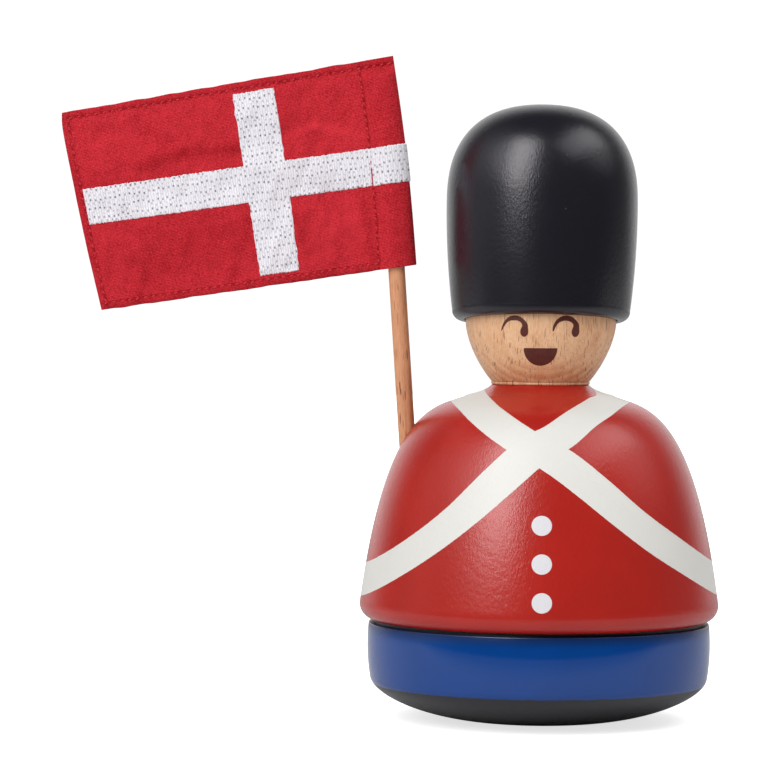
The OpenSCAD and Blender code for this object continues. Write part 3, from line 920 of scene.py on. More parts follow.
@dataclass(frozen=True)
class CoatTurning:
    """The bell-shaped coat, with the flagpole's hole and the places of its painted belts."""

    foot_z: float = 23.3
    height: float = 55.0
    hem_r: float = 41.9
    hem_edge_r: float = 3.8
    under_r: float = 20.0
    collar_r: float = 11.6
    collar_edge_r: float = 0.7
    collar_in: float = 0.6
    collar_angle: float = 38.0
    top_r: float = 6.0
    shoulder_r: float = 16.9
    collar_drop: float = 2.5
    hole_r: float = 2.03
    hole_gap: float = 0.5
    hole_reach: float = 34.0
    sharp: float = 40.0
    belt_a: tuple[tuple[float, ...], ...] = (
        (2.45, 5.34, 8.98, 13.79, 18.58, 22.97, 27.03, 33.54, 41.16, 47.85, 54.6),
        (10.76, 14.4, 18.87, 23.5, 27.82, 31.7, 37.39, 44.03, 50.61, 56.5, 62.5))
    belt_b: tuple[tuple[float, ...], ...] = (
        (55.3, 48.5, 40.81, 31.58, 23.94, 19.85, 14.89, 10.63, 7.25, 5.25, 1.47),
        (63.2, 57.0, 50.51, 43.48, 36.17, 29.46, 25.2, 20.02, 16.32, 12.9, 10.57))

    def outline(self) -> np.ndarray:
        """Underside, the rounded hem, up the bell to the shoulder, in to the collar and its top."""
        hem = arc((self.hem_r - self.hem_edge_r, self.hem_edge_r), self.hem_edge_r, -90, 0, 16)
        low = (self.shoulder_r, self.height - self.collar_drop)
        side = sweep(low, (self.hem_r, self.hem_edge_r),
                     ((0, 0), (0.297, 0.062), (0.755, 0.033), (1, 1)), 110)[::-1]
        edge_r = self.collar_edge_r
        brow = arc((self.collar_r - self.collar_in, self.height - edge_r), edge_r,
                   self.collar_angle, 90, 8)
        collar = sweep(brow[0], low, ((0, 0), (0.17, 0.4), (0.5, 0.7), (1, 1)), 14)[::-1]
        points = np.concatenate([[[0, 0], [self.under_r, 0]], hem, side[1:], collar[1:-1], brow,
                                 [[self.top_r, self.height], [0, self.height]]])
        return points + np.array([0, self.foot_z])

    def belt(self, edges: Sequence[Sequence[float]], points: np.ndarray) -> np.ndarray:
        """How far inside a belt each point is, in mm down the coat, below 0 outside it.

        Each edge's distance down the coat from the top of its collar is given at even steps of
        the sine of the angle from the front, and is a smooth curve in between, so the belt is
        one loop that crosses the back as it crosses the front.
        """
        wall = self.outline()[2:-2][::-1]
        run = np.concatenate([[0], np.cumsum(np.hypot(*np.diff(wall, axis=0).T))])
        down = np.interp(points[:, 2], wall[::-1, 1], run[::-1])
        turn = points[:, 0] / np.maximum(np.hypot(points[:, 0], points[:, 1]), 1e-6)
        near, far = (smooth_curve(edge, turn) for edge in edges)
        on_top = points[:, 2] > self.foot_z + self.height - 0.01
        return np.where(on_top, -1.0, np.minimum(down - near, far - down))

    def build(self, pole: "Flagpole", bare: bpy.types.Material,
              paint: bpy.types.Material) -> bpy.types.Object:
        """Turns the outline, drills the pole's hole and marks the belts.

        Args:
            pole: the flagpole that the hole is for.
            bare: the material of the hole's wall.
            paint: the material of the outside.
        Returns:
            The coat, with both materials.
        """
        solid = turning("coat_turning", self.outline(), full_turn(420))
        solid.data.materials.append(paint)
        bore = np.array([[0, -self.hole_gap], [self.hole_r, -self.hole_gap],
                         [self.hole_r, self.hole_reach], [0, self.hole_reach]])
        drill = turning("drill", bore, full_turn(64), pole.frame(), pole.foot)
        drill.data.materials.append(bare)
        cut = solid.modifiers.new("drill", "BOOLEAN")
        cut.operation, cut.solver, cut.object = "DIFFERENCE", "EXACT", drill
        cut.material_mode = "TRANSFER"
        shown = solid.evaluated_get(bpy.context.evaluated_depsgraph_get())
        mesh = bpy.data.meshes.new_from_object(shown)
        solid.modifiers.clear()
        old, solid.data = solid.data, mesh
        mesh.name = "coat_turning"
        bpy.data.meshes.remove(old)
        bpy.data.meshes.remove(drill.data)
        mesh.set_sharp_from_angle(angle=np.radians(self.sharp))
        points = points_of(solid)
        for name, edges in (("belt_a", self.belt_a), ("belt_b", self.belt_b)):
            set_attribute(solid, name, self.belt(edges, points))
        return solid


@dataclass(frozen=True)
class Stroke:
    """A brush stroke on the face: places (x, z) in mm along its middle, with half widths."""

    nodes: tuple[tuple[float, float, float], ...]

    def spline(self, steps: int) -> np.ndarray:
        """The nodes joined by a Catmull-Rom curve of so many steps between each two."""
        p = np.array(self.nodes)
        p = np.concatenate([2 * p[:1] - p[1:2], p, 2 * p[-1:] - p[-2:-1]])
        t = np.linspace(0, 1, steps + 1)[:-1][:, None, None]
        a, b, c, d = p[:-3], p[1:-2], p[2:-1], p[3:]
        curve = 0.5 * (2 * b + (c - a) * t + (2 * a - 5 * b + 4 * c - d) * t ** 2
                       + (3 * b - a - 3 * c + d) * t ** 3)
        return np.concatenate([curve.transpose(1, 0, 2).reshape(-1, 3), p[-2:-1]])

    def depth(self, x: np.ndarray, z: np.ndarray) -> np.ndarray:
        """How far inside the stroke each place is, below 0 outside it.

        The stroke is a chain of capsules whose half width changes evenly from node to node.
        """
        nodes = self.spline(3)
        start, way = nodes[:-1, :2], np.diff(nodes[:, :2], axis=0)
        gap = np.stack([x, z], -1)[:, None, :] - start
        share = np.clip((gap * way).sum(-1) / (way * way).sum(-1), 0, 1)
        width = nodes[:-1, 2] + share * np.diff(nodes[:, 2])
        return (width - np.linalg.norm(gap - share[..., None] * way, axis=-1)).max(-1)


@dataclass(frozen=True)
class HeadTurning:
    """The ball-shaped head drawn in to the neck, with a doll's face."""

    mid_z: float = 92.7
    mid_h: float = 14.4
    radius: float = 17.55
    chin_depth: float = 21.2
    chin_curve: float = 1.6
    lip_h: float = 0.8
    lip_r: float = 11.54
    under_r: float = 6.0
    face_depth: float = 11.3
    brow_angle: float = 12.0
    left_eye: Stroke = Stroke((
        (-9.57, 91.03, 0.12), (-9.37, 91.64, 0.21), (-9.11, 92.26, 0.26), (-8.75, 92.87, 0.32),
        (-8.24, 93.41, 0.40), (-7.57, 93.80, 0.50), (-6.75, 93.92, 0.58), (-5.98, 93.85, 0.56),
        (-5.24, 93.51, 0.53), (-4.68, 92.98, 0.51), (-4.32, 92.34, 0.62), (-4.32, 91.72, 0.72),
        (-4.42, 91.13, 0.87), (-4.45, 90.69, 0.92), (-4.45, 90.28, 0.69), (-4.47, 89.95, 0.31)))
    right_eye: Stroke = Stroke((
        (2.17, 91.08, 0.18), (2.27, 91.54, 0.26), (2.47, 92.13, 0.32), (2.81, 92.75, 0.38),
        (3.35, 93.33, 0.46), (4.06, 93.74, 0.54), (4.91, 93.95, 0.60), (5.76, 93.87, 0.62),
        (6.52, 93.54, 0.58), (7.11, 93.00, 0.56), (7.45, 92.36, 0.67), (7.47, 91.72, 0.74),
        (7.37, 91.13, 0.87), (7.32, 90.69, 0.92), (7.29, 90.28, 0.69), (7.27, 89.95, 0.31)))
    mouth: tuple[float, float, float, float] = (-0.65, 87.02, 3.88, 4.1)

    def outline(self) -> np.ndarray:
        """Neck, a bead at the joint, cheeks by the chin's superellipse, and a ball above.

        The rows are fine from face_depth below the middle to brow_angle above it.
        """
        half = self.lip_h / 2
        lip = arc((self.lip_r - half, -self.mid_h + half), half, -90, 90, 10)
        depth = np.concatenate([np.linspace(self.mid_h - self.lip_h, self.face_depth, 22),
                                np.linspace(self.face_depth - 0.1, 0, 100)])
        cheeks = np.stack([self.radius * (1 - (depth / self.chin_depth) ** self.chin_curve)
                           ** (1 / self.chin_curve), -depth], -1)
        brow = arc((0, 0), self.radius, 0, self.brow_angle, 33)[1:]
        crown = arc((0, 0), self.radius, self.brow_angle, 90, 26)[1:]
        crown[-1, 0] = 0.0
        under = [[0, -self.mid_h], [self.under_r, -self.mid_h]]
        points = np.concatenate([under, lip, cheeks, brow, crown])
        return points + np.array([0, self.mid_z])

    def face(self, points: np.ndarray) -> np.ndarray:
        """How far inside the painted face each point of the front is, in mm."""
        x, z = points[:, 0], points[:, 2]
        middle, top, wide, deep = self.mouth
        reach = np.hypot((x - middle) / wide, (z - top) / deep)
        mouth = np.minimum((1 - reach) * wide, top - z)
        marks = np.maximum.reduce([mouth, self.left_eye.depth(x, z), self.right_eye.depth(x, z)])
        return np.where(points[:, 1] < 0, np.maximum(marks, -3.0), -3.0)

    def build(self) -> bpy.types.Object:
        """Turns the outline, with fine columns over the face, and marks the face."""
        front, back = np.linspace(-125, -55, 181), np.linspace(-55, 235, 101)[1:-1]
        columns = np.radians(np.concatenate([front, back]))
        piece = turning("head_turning", self.outline(), columns)
        set_attribute(piece, "face", self.face(points_of(piece)))
        return piece


@dataclass(frozen=True)
class HatTurning:
    """The tall hat, in its own frame on the middle of the head, tipped a little back."""

    mid_z: float = 92.7
    tilt: float = -5.4
    lean: float = 0.4
    height: float = 50.8
    radius: float = 22.35
    widest_h: float = 27.5
    side_r: float = 195.0
    lip_r: float = 2.3
    dome_curve: float = 2.5
    socket_r: float = 17.85
    mouth_r: float = 0.4
    rim_h: float = 0.42

    def side(self, h: np.ndarray) -> np.ndarray:
        """Radius of the side: an arc of radius side_r that is widest at widest_h."""
        return self.radius - self.side_r + np.sqrt(self.side_r ** 2 - (h - self.widest_h) ** 2)

    def outline(self) -> np.ndarray:
        """Down the socket, round its mouth, out along the rim, up the side and over the dome."""
        e, socket, rim = self.mouth_r, self.socket_r, self.rim_h
        ball = arc((0, 0), socket, 90, np.degrees(np.arcsin((e + rim) / socket)), 40)
        ball[0, 0] = 0.0
        mouth = arc((socket + e, e + rim), e, 180, 270, 6)[1:]
        start = self.lip_r + rim
        lip = arc((self.side(np.array(start)) - self.lip_r, start), self.lip_r, -90, 0, 16)
        h = np.linspace(start, self.widest_h, 61)[1:]
        dome = superellipse(0, 90, 90, self.dome_curve)[1:]
        dome = (0, self.widest_h) + dome * (self.radius, self.height - self.widest_h)
        dome[-1, 0] = 0.0
        return np.concatenate([ball, mouth, lip, np.stack([self.side(h), h], -1), dome])

    def build(self) -> bpy.types.Object:
        """Turns the outline and tips it."""
        return turning("hat_turning", self.outline(), full_turn(288),
                       turned_frame(self.tilt, self.lean), (0, 0, self.mid_z))


# Flag and pole


@dataclass(frozen=True)
class Flagpole:
    """The dowel that carries the flag."""

    radius: float = 1.95
    length: float = 104.0
    bevel: float = 0.5
    lean: float = 3.95
    foot: tuple[float, float, float] = (-29.681, 2.023, 46.0)

    def frame(self) -> np.ndarray:
        """Rotation of the pole's own frame, which leans out to -x."""
        return turned_frame(0.0, -self.lean)

    def up(self) -> np.ndarray:
        """Unit vector along the pole."""
        return np.array([-np.sin(np.radians(self.lean)), 0.0, np.cos(np.radians(self.lean))])

    def build(self) -> bpy.types.Object:
        """Turns a straight stick with eased ends."""
        bevel, inner, top = self.bevel, self.radius - self.bevel, self.length - self.bevel
        wall = np.linspace(bevel, top, 61)[1:-1]
        outline = np.concatenate([[[0, 0]], arc((inner, bevel), bevel, -90, 0, 5),
                                  np.stack([np.full_like(wall, self.radius), wall], -1),
                                  arc((inner, top), bevel, 0, 90, 5), [[0, self.length]]])
        return turning("pole_turning", outline, full_turn(96), self.frame(), self.foot)


@dataclass(frozen=True)
class FlagForm:
    """The hung shape of the flag: one cloth folded at the hoist, with a sleeve round the pole.

    A place on it is a signed column q and a drop t in mm down from the top edge. The column's
    size runs from 0 at the fold to 1 beside the pole, 2 at the sleeve's seam and 3 at the free
    edge, and its sign is the layer: below 0 in front, above 0 behind. In between, v is the
    share down the flag and a is the distance in mm on the cloth from the fold.

    Ripples are given by their size, their length and a seed, and a crease by the ends (a, t) of
    its line, its height and its half width. A patch of painted shade, or of painted light where
    what it adds is below 0, is given by its middle (a, t), its two half sizes and what it adds to
    the darker red's share. far is a distance at which no edge or seam is felt.
    """

    pole: Flagpole
    far: float = 9.0
    width: float = 79.0
    height: float = 49.1
    cloth: float = 0.4
    hem: float = 2.4
    sewn: float = 1.65
    sleeve: float = 8.7
    play: float = 0.55
    top_gap: float = 2.2
    fold_gap: float = 2.3
    fold_lean: float = 6.8
    droops: tuple[float, float] = (10.1, 8.6)
    depths: tuple[float, float] = (0.8, 1.4)
    kept_sleeve: tuple[float, float] = (0.94, 1.0)
    kept_sheet: tuple[float, float] = (1.0, 0.935)
    fold_bow: float = 0.6
    free_bow: float = 0.6
    corner_bow: float = 0.5
    corner_start: float = 62.0
    corner_drop: float = 5.0
    fold_start: float = 14.0
    fold_count: float = 1.3
    fold_drift: float = 0.12
    fold_phase: float = 0.08
    full_share: float = 0.085
    loose_from: float = 9.0
    loose: tuple[tuple[float, float, int], ...] = ((0.34, 12.0, 3), (0.11, 5.5, 5))
    seam_hold: float = 3.0
    back_shift: float = 57.0
    crease_rise: float = 0.9
    pad_rise: float = 0.20
    pucker: tuple[float, float, int] = (0.11, 2.6, 8)
    pucker_reach: float = 2.2
    slack: tuple[float, float, int] = (0.08, 4.0, 13)
    edge_press: float = 0.22
    edge_press_w: float = 0.8
    edge_wave: tuple[float, float, int] = (0.07, 6.0, 21)
    edge_wave_w: float = 3.0
    mean_tone: float = 0.40
    # painted shade just under each crease
    under_crease_shade: float = 0.6
    crease_drop: float = 1.3
    crease_narrow: float = 0.55
    creases: tuple[tuple[float, float, float, float, float, float], ...] = (
        (63.0, 15.2, 52.0, 12.9, 0.32, 2.2), (52.0, 12.9, 40.0, 14.6, 0.30, 2.2),
        (30.0, 14.0, 21.0, 11.6, -0.30, 2.0), (21.0, 11.6, 10.0, 16.0, -0.34, 2.2),
        (40.0, 31.0, 41.5, 37.0, 0.26, 2.6), (70.0, 47.0, 66.0, 41.0, 0.30, 2.2),
        (28.0, 33.0, 26.5, 41.0, 0.26, 2.4), (12.0, 28.0, 10.0, 45.0, 0.30, 2.2),
        (62.0, 3.0, 58.0, 9.0, 0.18, 2.2), (46.0, 45.5, 43.0, 39.0, 0.20, 2.4),
        (20.0, 45.5, 17.0, 38.0, 0.22, 2.2), (76.0, 20.0, 70.0, 22.0, 0.22, 2.0))
    # patches of painted shade, and of painted light where the last number is below 0
    patches: tuple[tuple[float, float, float, float, float], ...] = (
        (52.0, 35.0, 17.0, 8.0, 0.16), (64.0, 42.0, 8.0, 6.0, 0.08), (2.0, 24.0, 6.0, 40.0, 0.13),
        (70.0, 8.0, 9.0, 6.0, -0.05), (26.0, 13.0, 8.0, 3.0, 0.12), (44.0, 15.0, 8.0, 3.0, 0.10),
        (17.0, 39.0, 8.0, 7.0, -0.14), (60.0, 14.5, 9.0, 3.0, 0.08), (72.0, 20.0, 5.0, 4.0, 0.10))

    def top(self) -> np.ndarray:
        """Where the pole's axis would leave the top hem."""
        reach = self.pole.length + self.top_gap + self.hem
        return np.array(self.pole.foot) + self.pole.up() * reach

    def way(self, v: np.ndarray) -> np.ndarray:
        """Unit vector along a row towards the free edge, drooping by degrees that change with v."""
        droop = np.radians(between(self.droops, v))
        return np.stack([-np.cos(droop), np.zeros_like(droop), -np.sin(droop)], -1)

    def fold(self, v: np.ndarray) -> np.ndarray:
        """The fold at the hoist: a leaning line, bowed by half a sine wave."""
        lean = np.radians(self.fold_lean)
        corner = self.top() - self.fold_gap * self.way(np.zeros(1))[0]
        line = corner + v[..., None] * self.height * np.array([np.sin(lean), 0, -np.cos(lean)])
        line[..., 0] += self.fold_bow * np.sin(np.pi * v)
        return line

    def pole_at(self, v: np.ndarray) -> np.ndarray:
        """Distance on the cloth from the fold to the pole's axis."""
        way, gap, up = self.way(v), self.top() - self.fold(v), self.pole.up()
        across = ((gap[..., 0] * up[2] - gap[..., 2] * up[0])
                  / (way[..., 0] * up[2] - way[..., 2] * up[0]))
        return across / between(self.kept_sleeve, v)

    def column(self, a: np.ndarray, v: np.ndarray) -> np.ndarray:
        """The unsigned column of a place that is a from the fold."""
        p = self.pole_at(v)
        inner = np.arccos(np.clip(1 - a / p, -1, 1)) / (np.pi / 2)
        middle = 1 + (a - p) / (self.sleeve - p)
        outer = 2 + (a - self.sleeve) / (self.width - self.sleeve)
        return np.where(a < p, inner, np.where(a < self.sleeve, middle, outer))

    def section(self, q: np.ndarray, v: np.ndarray) -> tuple[np.ndarray, ...]:
        """The sleeve and sheet in cross-section.

        Beside the fold it is a quarter of an ellipse, past the pole its half thickness falls as
        1 less the square of the share of the way to the seam, and the sheet is flat.

        Args:
            q: unsigned columns.
            v: shares down the flag.
        Returns:
            Distance from the fold, half thickness, and the two parts of the way out of the
            cloth, along the row and across the sheet.
        """
        p = self.pole_at(v)
        low = self.hem / self.height
        full = (self.pole.radius + self.play) * smooth((v - low) / (self.full_share - low))
        turn, s = np.clip(q, 0, 1) * np.pi / 2, np.clip(q - 1, 0, 1)
        rest = np.clip(q - 2, 0, 1)
        beside, past = q < 1, q < 2
        a = np.where(beside, p * (1 - np.cos(turn)),
                     np.where(past, p + (self.sleeve - p) * s,
                              self.sleeve + (self.width - self.sleeve) * rest))
        h = self.cloth + full
        half = np.where(beside, h * np.sin(turn),
                        np.where(past, self.cloth + full * (1 - s * s), self.cloth))
        along = np.where(beside, -h * np.cos(turn),
                         np.where(past, 2 * full * s / (self.sleeve - p), 0.0))
        across = np.where(beside, p * np.sin(turn) + 1e-6, 1.0)
        size = np.hypot(along, across)
        return a, half, along / size, across / size

    def row(self, a: np.ndarray, v: np.ndarray) -> np.ndarray:
        """How far along its row, as hung, a place lies that is a from the fold on the cloth."""
        near = np.minimum(a, self.sleeve) * between(self.kept_sleeve, v)
        past = np.maximum(a - self.sleeve, 0)
        share = past / (self.width - self.sleeve)
        bow = (self.fold_bow + self.free_bow) * share * np.sin(np.pi * v)
        low = v * self.height / self.corner_drop
        corner = smooth((a - self.corner_start) / (self.width - self.corner_start))
        bow = bow + self.corner_bow * low * np.exp(1 - low) * corner
        return near + past * between(self.kept_sheet, v) + bow

    def drape(self, a: np.ndarray, v: np.ndarray) -> np.ndarray:
        """Depth of the hung sheet: upright folds that start past the sleeve, deeper below."""
        turn = self.fold_count * a / self.width + self.fold_drift * v + self.fold_phase
        deep = between(self.depths, v) * smooth((a - self.sleeve) / self.fold_start)
        return deep * np.sin(2 * np.pi * turn)

    def seam(self, a: np.ndarray, t: np.ndarray) -> np.ndarray:
        """Distance in mm to the nearest sewn line."""
        lines = [np.abs(t - self.sewn),
                 np.where(a > self.sleeve, np.abs(t - self.height + self.sewn), self.far),
                 np.abs(a - self.width + self.sewn), np.abs(a - self.sleeve)]
        return np.minimum.reduce(lines)

    def inset(self, a: np.ndarray, t: np.ndarray) -> np.ndarray:
        """Distance in mm in from the nearest hemmed edge."""
        foot = np.where(a > self.sleeve, self.height - t, self.far)
        return np.minimum.reduce([t, foot, self.width - a])

    def crease(self, a: np.ndarray, t: np.ndarray, narrow: float = 1.0) -> np.ndarray:
        """Height of the single creases, ridges with a bell-shaped section along short lines.

        Args:
            a, t: the places.
            narrow: a share of the ridges' own widths.
        Returns:
            Heights, below 0 for a crease that sinks in.
        """
        ridge = np.zeros_like(a)
        for a0, t0, a1, t1, high, wide in self.creases:
            way = np.array([a1 - a0, t1 - t0])
            share = np.clip(((a - a0) * way[0] + (t - t0) * way[1]) / (way @ way), 0, 1)
            gap = np.hypot(a - a0 - share * way[0], t - t0 - share * way[1])
            ridge = ridge + high * bell(gap / (wide * narrow))
        return ridge

    def tone(self, a: np.ndarray, t: np.ndarray) -> np.ndarray:
        """Share of the darker red: a mean, plus bell-shaped patches of painted shade and painted
        light.

        It is also darker just under each crease, a painted shade.
        """
        share = np.full_like(a, self.mean_tone)
        for a0, t0, wide, high, more in self.patches:
            share = share + more * bell((a - a0) / wide) * bell((t - t0) / high)
        # painted shade under the creases
        under = self.crease(a, t - self.crease_drop, self.crease_narrow)
        return share + self.under_crease_shade * under

    def rippled(self, kind: tuple[float, float, int], a: np.ndarray,
                t: np.ndarray) -> np.ndarray:
        """Heights of one kind of ripples."""
        size, length, seed = kind
        return size * ripples(a, t, length, seed)

    def sway(self, a: np.ndarray, t: np.ndarray) -> np.ndarray:
        """How far both layers lie along y from the drape.

        Creases stand in soft ripples, and the sewn lines and the sleeve hold both down.
        """
        held = smooth(self.seam(a, t) / self.seam_hold) * smooth((a - self.loose_from) / 5.0)
        loose = sum(self.rippled(kind, a, t) for kind in self.loose)
        return -held * (self.crease_rise * self.crease(a, t) + loose)

    def swell(self, q: np.ndarray, a: np.ndarray, t: np.ndarray) -> np.ndarray:
        """How far a layer stands out past its plain half thickness.

        The hem's padding is a rounded band between the edge and its sewn line. Puckers run out
        from the sewn lines, and the rest of the cloth is a little loose.
        """
        half = self.sewn / 2
        pad = rounded(1 - np.abs(self.inset(a, t) / half - 1))
        layer = np.where(q < 0, 0.0, self.back_shift)
        gap = self.seam(a, t)
        pucker = np.exp(-gap / self.pucker_reach) * self.rippled(self.pucker, a + layer, t)
        slack = smooth(gap / self.seam_hold) * self.rippled(self.slack, a + layer, t)
        on_sheet = smooth((a - self.loose_from) / 4.0) * 0.8 + 0.2
        return np.maximum(self.pad_rise * pad + (pucker + slack) * on_sheet, -0.2)

    def surface(self, q: np.ndarray, t: np.ndarray, lift: np.ndarray | float) -> np.ndarray:
        """Points on the outside of the cloth, in mm, whose edges are pressed thin.

        Args:
            q: signed columns.
            t: drops from the top edge.
            lift: how far out of the cloth the points stand.
        Returns:
            fold(v), plus the row's way times the length along it, plus along y the drape, the
            sway and the layer's half thickness. Near the top and foot edges z waves a little.
        """
        q, t = np.broadcast_arrays(np.asarray(q, float), np.asarray(t, float))
        v = t / self.height
        a, half, along, across = self.section(np.abs(q), v)
        side = np.where(q < 0, Side.FRONT.value, Side.BACK.value)
        half = half + self.swell(q, a, t) * np.clip(across, 0, 1) * smooth(a / 3.0)
        sheet = smooth((np.abs(q) - 1.6) / 0.4)
        foot = self.height - t + self.far * (1 - sheet)
        edge = np.minimum(np.where(t > self.height / 2, foot, t), self.width - a)
        half = half - self.edge_press * smooth(1 - edge / self.edge_press_w)
        near_edge = smooth(1 - np.minimum(t, self.height - t) / self.edge_wave_w)
        wave = self.rippled(self.edge_wave, a, t) * near_edge
        point = self.fold(v) + (self.row(a, v) + along * lift)[..., None] * self.way(v)
        point[..., 1] += self.drape(a, v) + self.sway(a, t) + side * (half + across * lift)
        point[..., 2] += wave * smooth((a - 4.0) / 6.0)
        return point


@dataclass(frozen=True)
class FlagSheet:
    """The red cloth, cut in one piece and turned in at its edges."""

    form: FlagForm
    turn_r: float = 0.35
    turn_in: float = 0.30

    def turned_edge(self, steps: int = 5) -> tuple[np.ndarray, np.ndarray]:
        """The rolled edge, from the depth of the hem out to the edge and onto the outside.

        Returns:
            Distances in from the edge, and shares of the way down to the inner layer.
        """
        angle = np.radians(np.linspace(-90, 90, steps + 1))
        back = np.linspace(self.form.hem, self.turn_r, 3)[:-1]
        inset = np.concatenate([back, self.turn_r * (1 - np.cos(angle))])
        depth = np.concatenate([np.ones(2), (1 - np.sin(angle)) / 2])
        return inset, depth

    def build(self) -> bpy.types.Object:
        """Lays the cloth on the form.

        Its columns run from the turned-in hem of the front's free edge, along the front, round
        the fold and along the back. Its rows run from the top's turned-in hem to the bottom's.
        """
        form = self.form
        inset, sunk = self.turned_edge()
        span = form.width - form.sleeve
        sheet = np.linspace(3 - self.turn_r / span, 2, 142)
        sleeve = np.concatenate([np.linspace(2, 1, 19)[1:], np.linspace(1, 0, 15)[1:]])
        front = np.concatenate([3 - inset / span, sheet[1:], sleeve])
        q = np.concatenate([-front, front[::-1][1:]])
        deep_q = np.concatenate([sunk, np.zeros(len(front) - len(sunk))])
        deep_q = np.concatenate([deep_q, deep_q[::-1][1:]])
        main = np.linspace(self.turn_r, form.height - self.turn_r, 98)
        t = np.concatenate([inset, main[1:-1], form.height - inset[::-1]])
        deep_t = np.concatenate([sunk, np.zeros(len(main) - 2), sunk[::-1]])
        drop, column = np.meshgrid(t, q, indexing="ij")
        lift = -self.turn_in * np.maximum(deep_t[:, None], deep_q[None, :])
        points = form.surface(column, drop, lift)
        faces = grid_faces(len(t), len(q))[:, ::-1]
        piece = make_piece("flag_sheet", points.reshape(-1, 3), faces.tolist())
        a = form.section(np.abs(column), drop / form.height)[0]
        set_uv(piece, np.stack([np.sign(column) * a, drop], -1).reshape(-1, 2))
        set_attribute(piece, "seam", form.seam(a, drop))
        set_attribute(piece, "hem", form.inset(a, drop) - form.sewn)
        set_attribute(piece, "tone", form.tone(a, drop))
        return piece


@dataclass(frozen=True)
class FlagEmbroidery:
    """The white cross of satin thread, sewn through both layers and round the fold."""

    form: FlagForm
    thick: float = 0.30
    bar_thicker: float = 0.03
    sunk: float = 0.06
    edge_w: float = 0.3
    reach: float = 77.2
    bar_free: tuple[float, float] = (0.39, 0.57)
    bar_hoist: tuple[float, float] = (0.42, 0.60)
    upright_top: tuple[float, float] = (29.1, 39.0)
    upright_foot: tuple[float, float] = (28.6, 38.5)
    upright_rows: tuple[float, float] = (2.7, 46.4)

    def pillow(self, share: np.ndarray, wide: np.ndarray | float) -> np.ndarray:
        """Height over a band's width: 1 inside, and rounded down to 0 at its edges."""
        return rounded(np.minimum(share, 1 - share) * wide / self.edge_w)

    def steps(self, count: int) -> np.ndarray:
        """Shares of the way across a band, close together at its edges and even inside."""
        close = np.array([0, 0.012, 0.03])
        return np.concatenate([close, np.linspace(0.06, 0.94, count), 1 - close[::-1]])

    def ends(self, count: int, seed: int, size: float) -> np.ndarray:
        """Uneven ends of threads: a seeded draw for each of them."""
        return np.random.default_rng(seed).uniform(-size, size, count)

    def bar(self) -> tuple[np.ndarray, np.ndarray, np.ndarray]:
        """The long bar: across the front, round the fold and across the back.

        It is split over the sleeve's seam, from a little below its top down.

        Returns:
            Columns, drops and heights of its grid.
        """
        form = self.form
        free = np.linspace(self.reach, form.sleeve, 290)
        out = 2 + (free - form.sleeve) / (form.width - form.sleeve)
        q = np.concatenate([out, np.linspace(2, 0, 44)[1:]])
        q = np.concatenate([-q, q[::-1][1:]])
        a = form.section(np.abs(q), np.full_like(q, 0.5))[0]
        share = a / self.reach
        high, low = (form.height * between((hoist, outer), share) + self.ends(len(q), seed, 0.13)
                     for hoist, outer, seed in zip(self.bar_hoist, self.bar_free, (31, 37)))
        down = self.steps(26)[:, None]
        drop = between((high, low), down)
        rise = self.pillow(down, low - high) * rounded((self.reach - a) / self.edge_w)
        beside = smooth((np.abs(a - form.sleeve - 0.1) - 0.10) / 0.25)
        split = smooth((down - 0.2) / 0.4) * (1 - beside)
        return np.broadcast_to(q, drop.shape), drop, rise * (1 - split)

    def upright(self, side: Side) -> tuple[np.ndarray, np.ndarray, np.ndarray]:
        """The short bar on one layer, from top to bottom. Returns as bar does."""
        form = self.form
        top, foot = self.upright_rows
        close = np.array([0, 0.05, 0.15])
        t = np.concatenate([top + close, np.linspace(top + 0.3, foot - 0.3, 170),
                            foot - close[::-1]])
        share = (t - top) / (foot - top)
        wave = 0.10 * ripples(t, t * 0, 3.5, 41 + int(side.value))
        low = between((self.upright_top[0], self.upright_foot[0]), share) + wave
        high = between((self.upright_top[1], self.upright_foot[1]), share) - wave[::-1]
        along = self.steps(30)
        ends = np.outer(np.cos(np.pi * share), self.ends(len(along), 51, 0.14))
        near = np.clip(1 - np.minimum(t - top, foot - t) / 3.0, 0, 1)[:, None]
        low, high = low[:, None], high[:, None]
        a = between((low, high), along)
        if side is Side.FRONT:
            a = a[:, ::-1]
        drop = t[:, None] + ends * near
        rise = self.pillow(along, high - low) * self.pillow(share[:, None], foot - top)
        return side.value * form.column(a, drop / form.height), drop, rise

    def build(self) -> bpy.types.Object:
        """Raises the bars over the cloth as a shell that starts a little inside it."""
        points, faces, flat, start = [], [], [], 0
        for (q, drop, rise), thick in ((self.bar(), self.thick + self.bar_thicker),
                                       (self.upright(Side.FRONT), self.thick),
                                       (self.upright(Side.BACK), self.thick)):
            points.append(self.form.surface(q, drop, rise * thick - self.sunk).reshape(-1, 3))
            faces.append(grid_faces(*q.shape, start)[:, ::-1])
            a = self.form.section(np.abs(q), drop / self.form.height)[0]
            flat.append(np.stack([np.sign(q) * a, drop], -1).reshape(-1, 2))
            start += q.size
        piece = make_piece("flag_embroidery", np.concatenate(points),
                           np.concatenate(faces).tolist())
        set_uv(piece, np.concatenate(flat))
        return piece


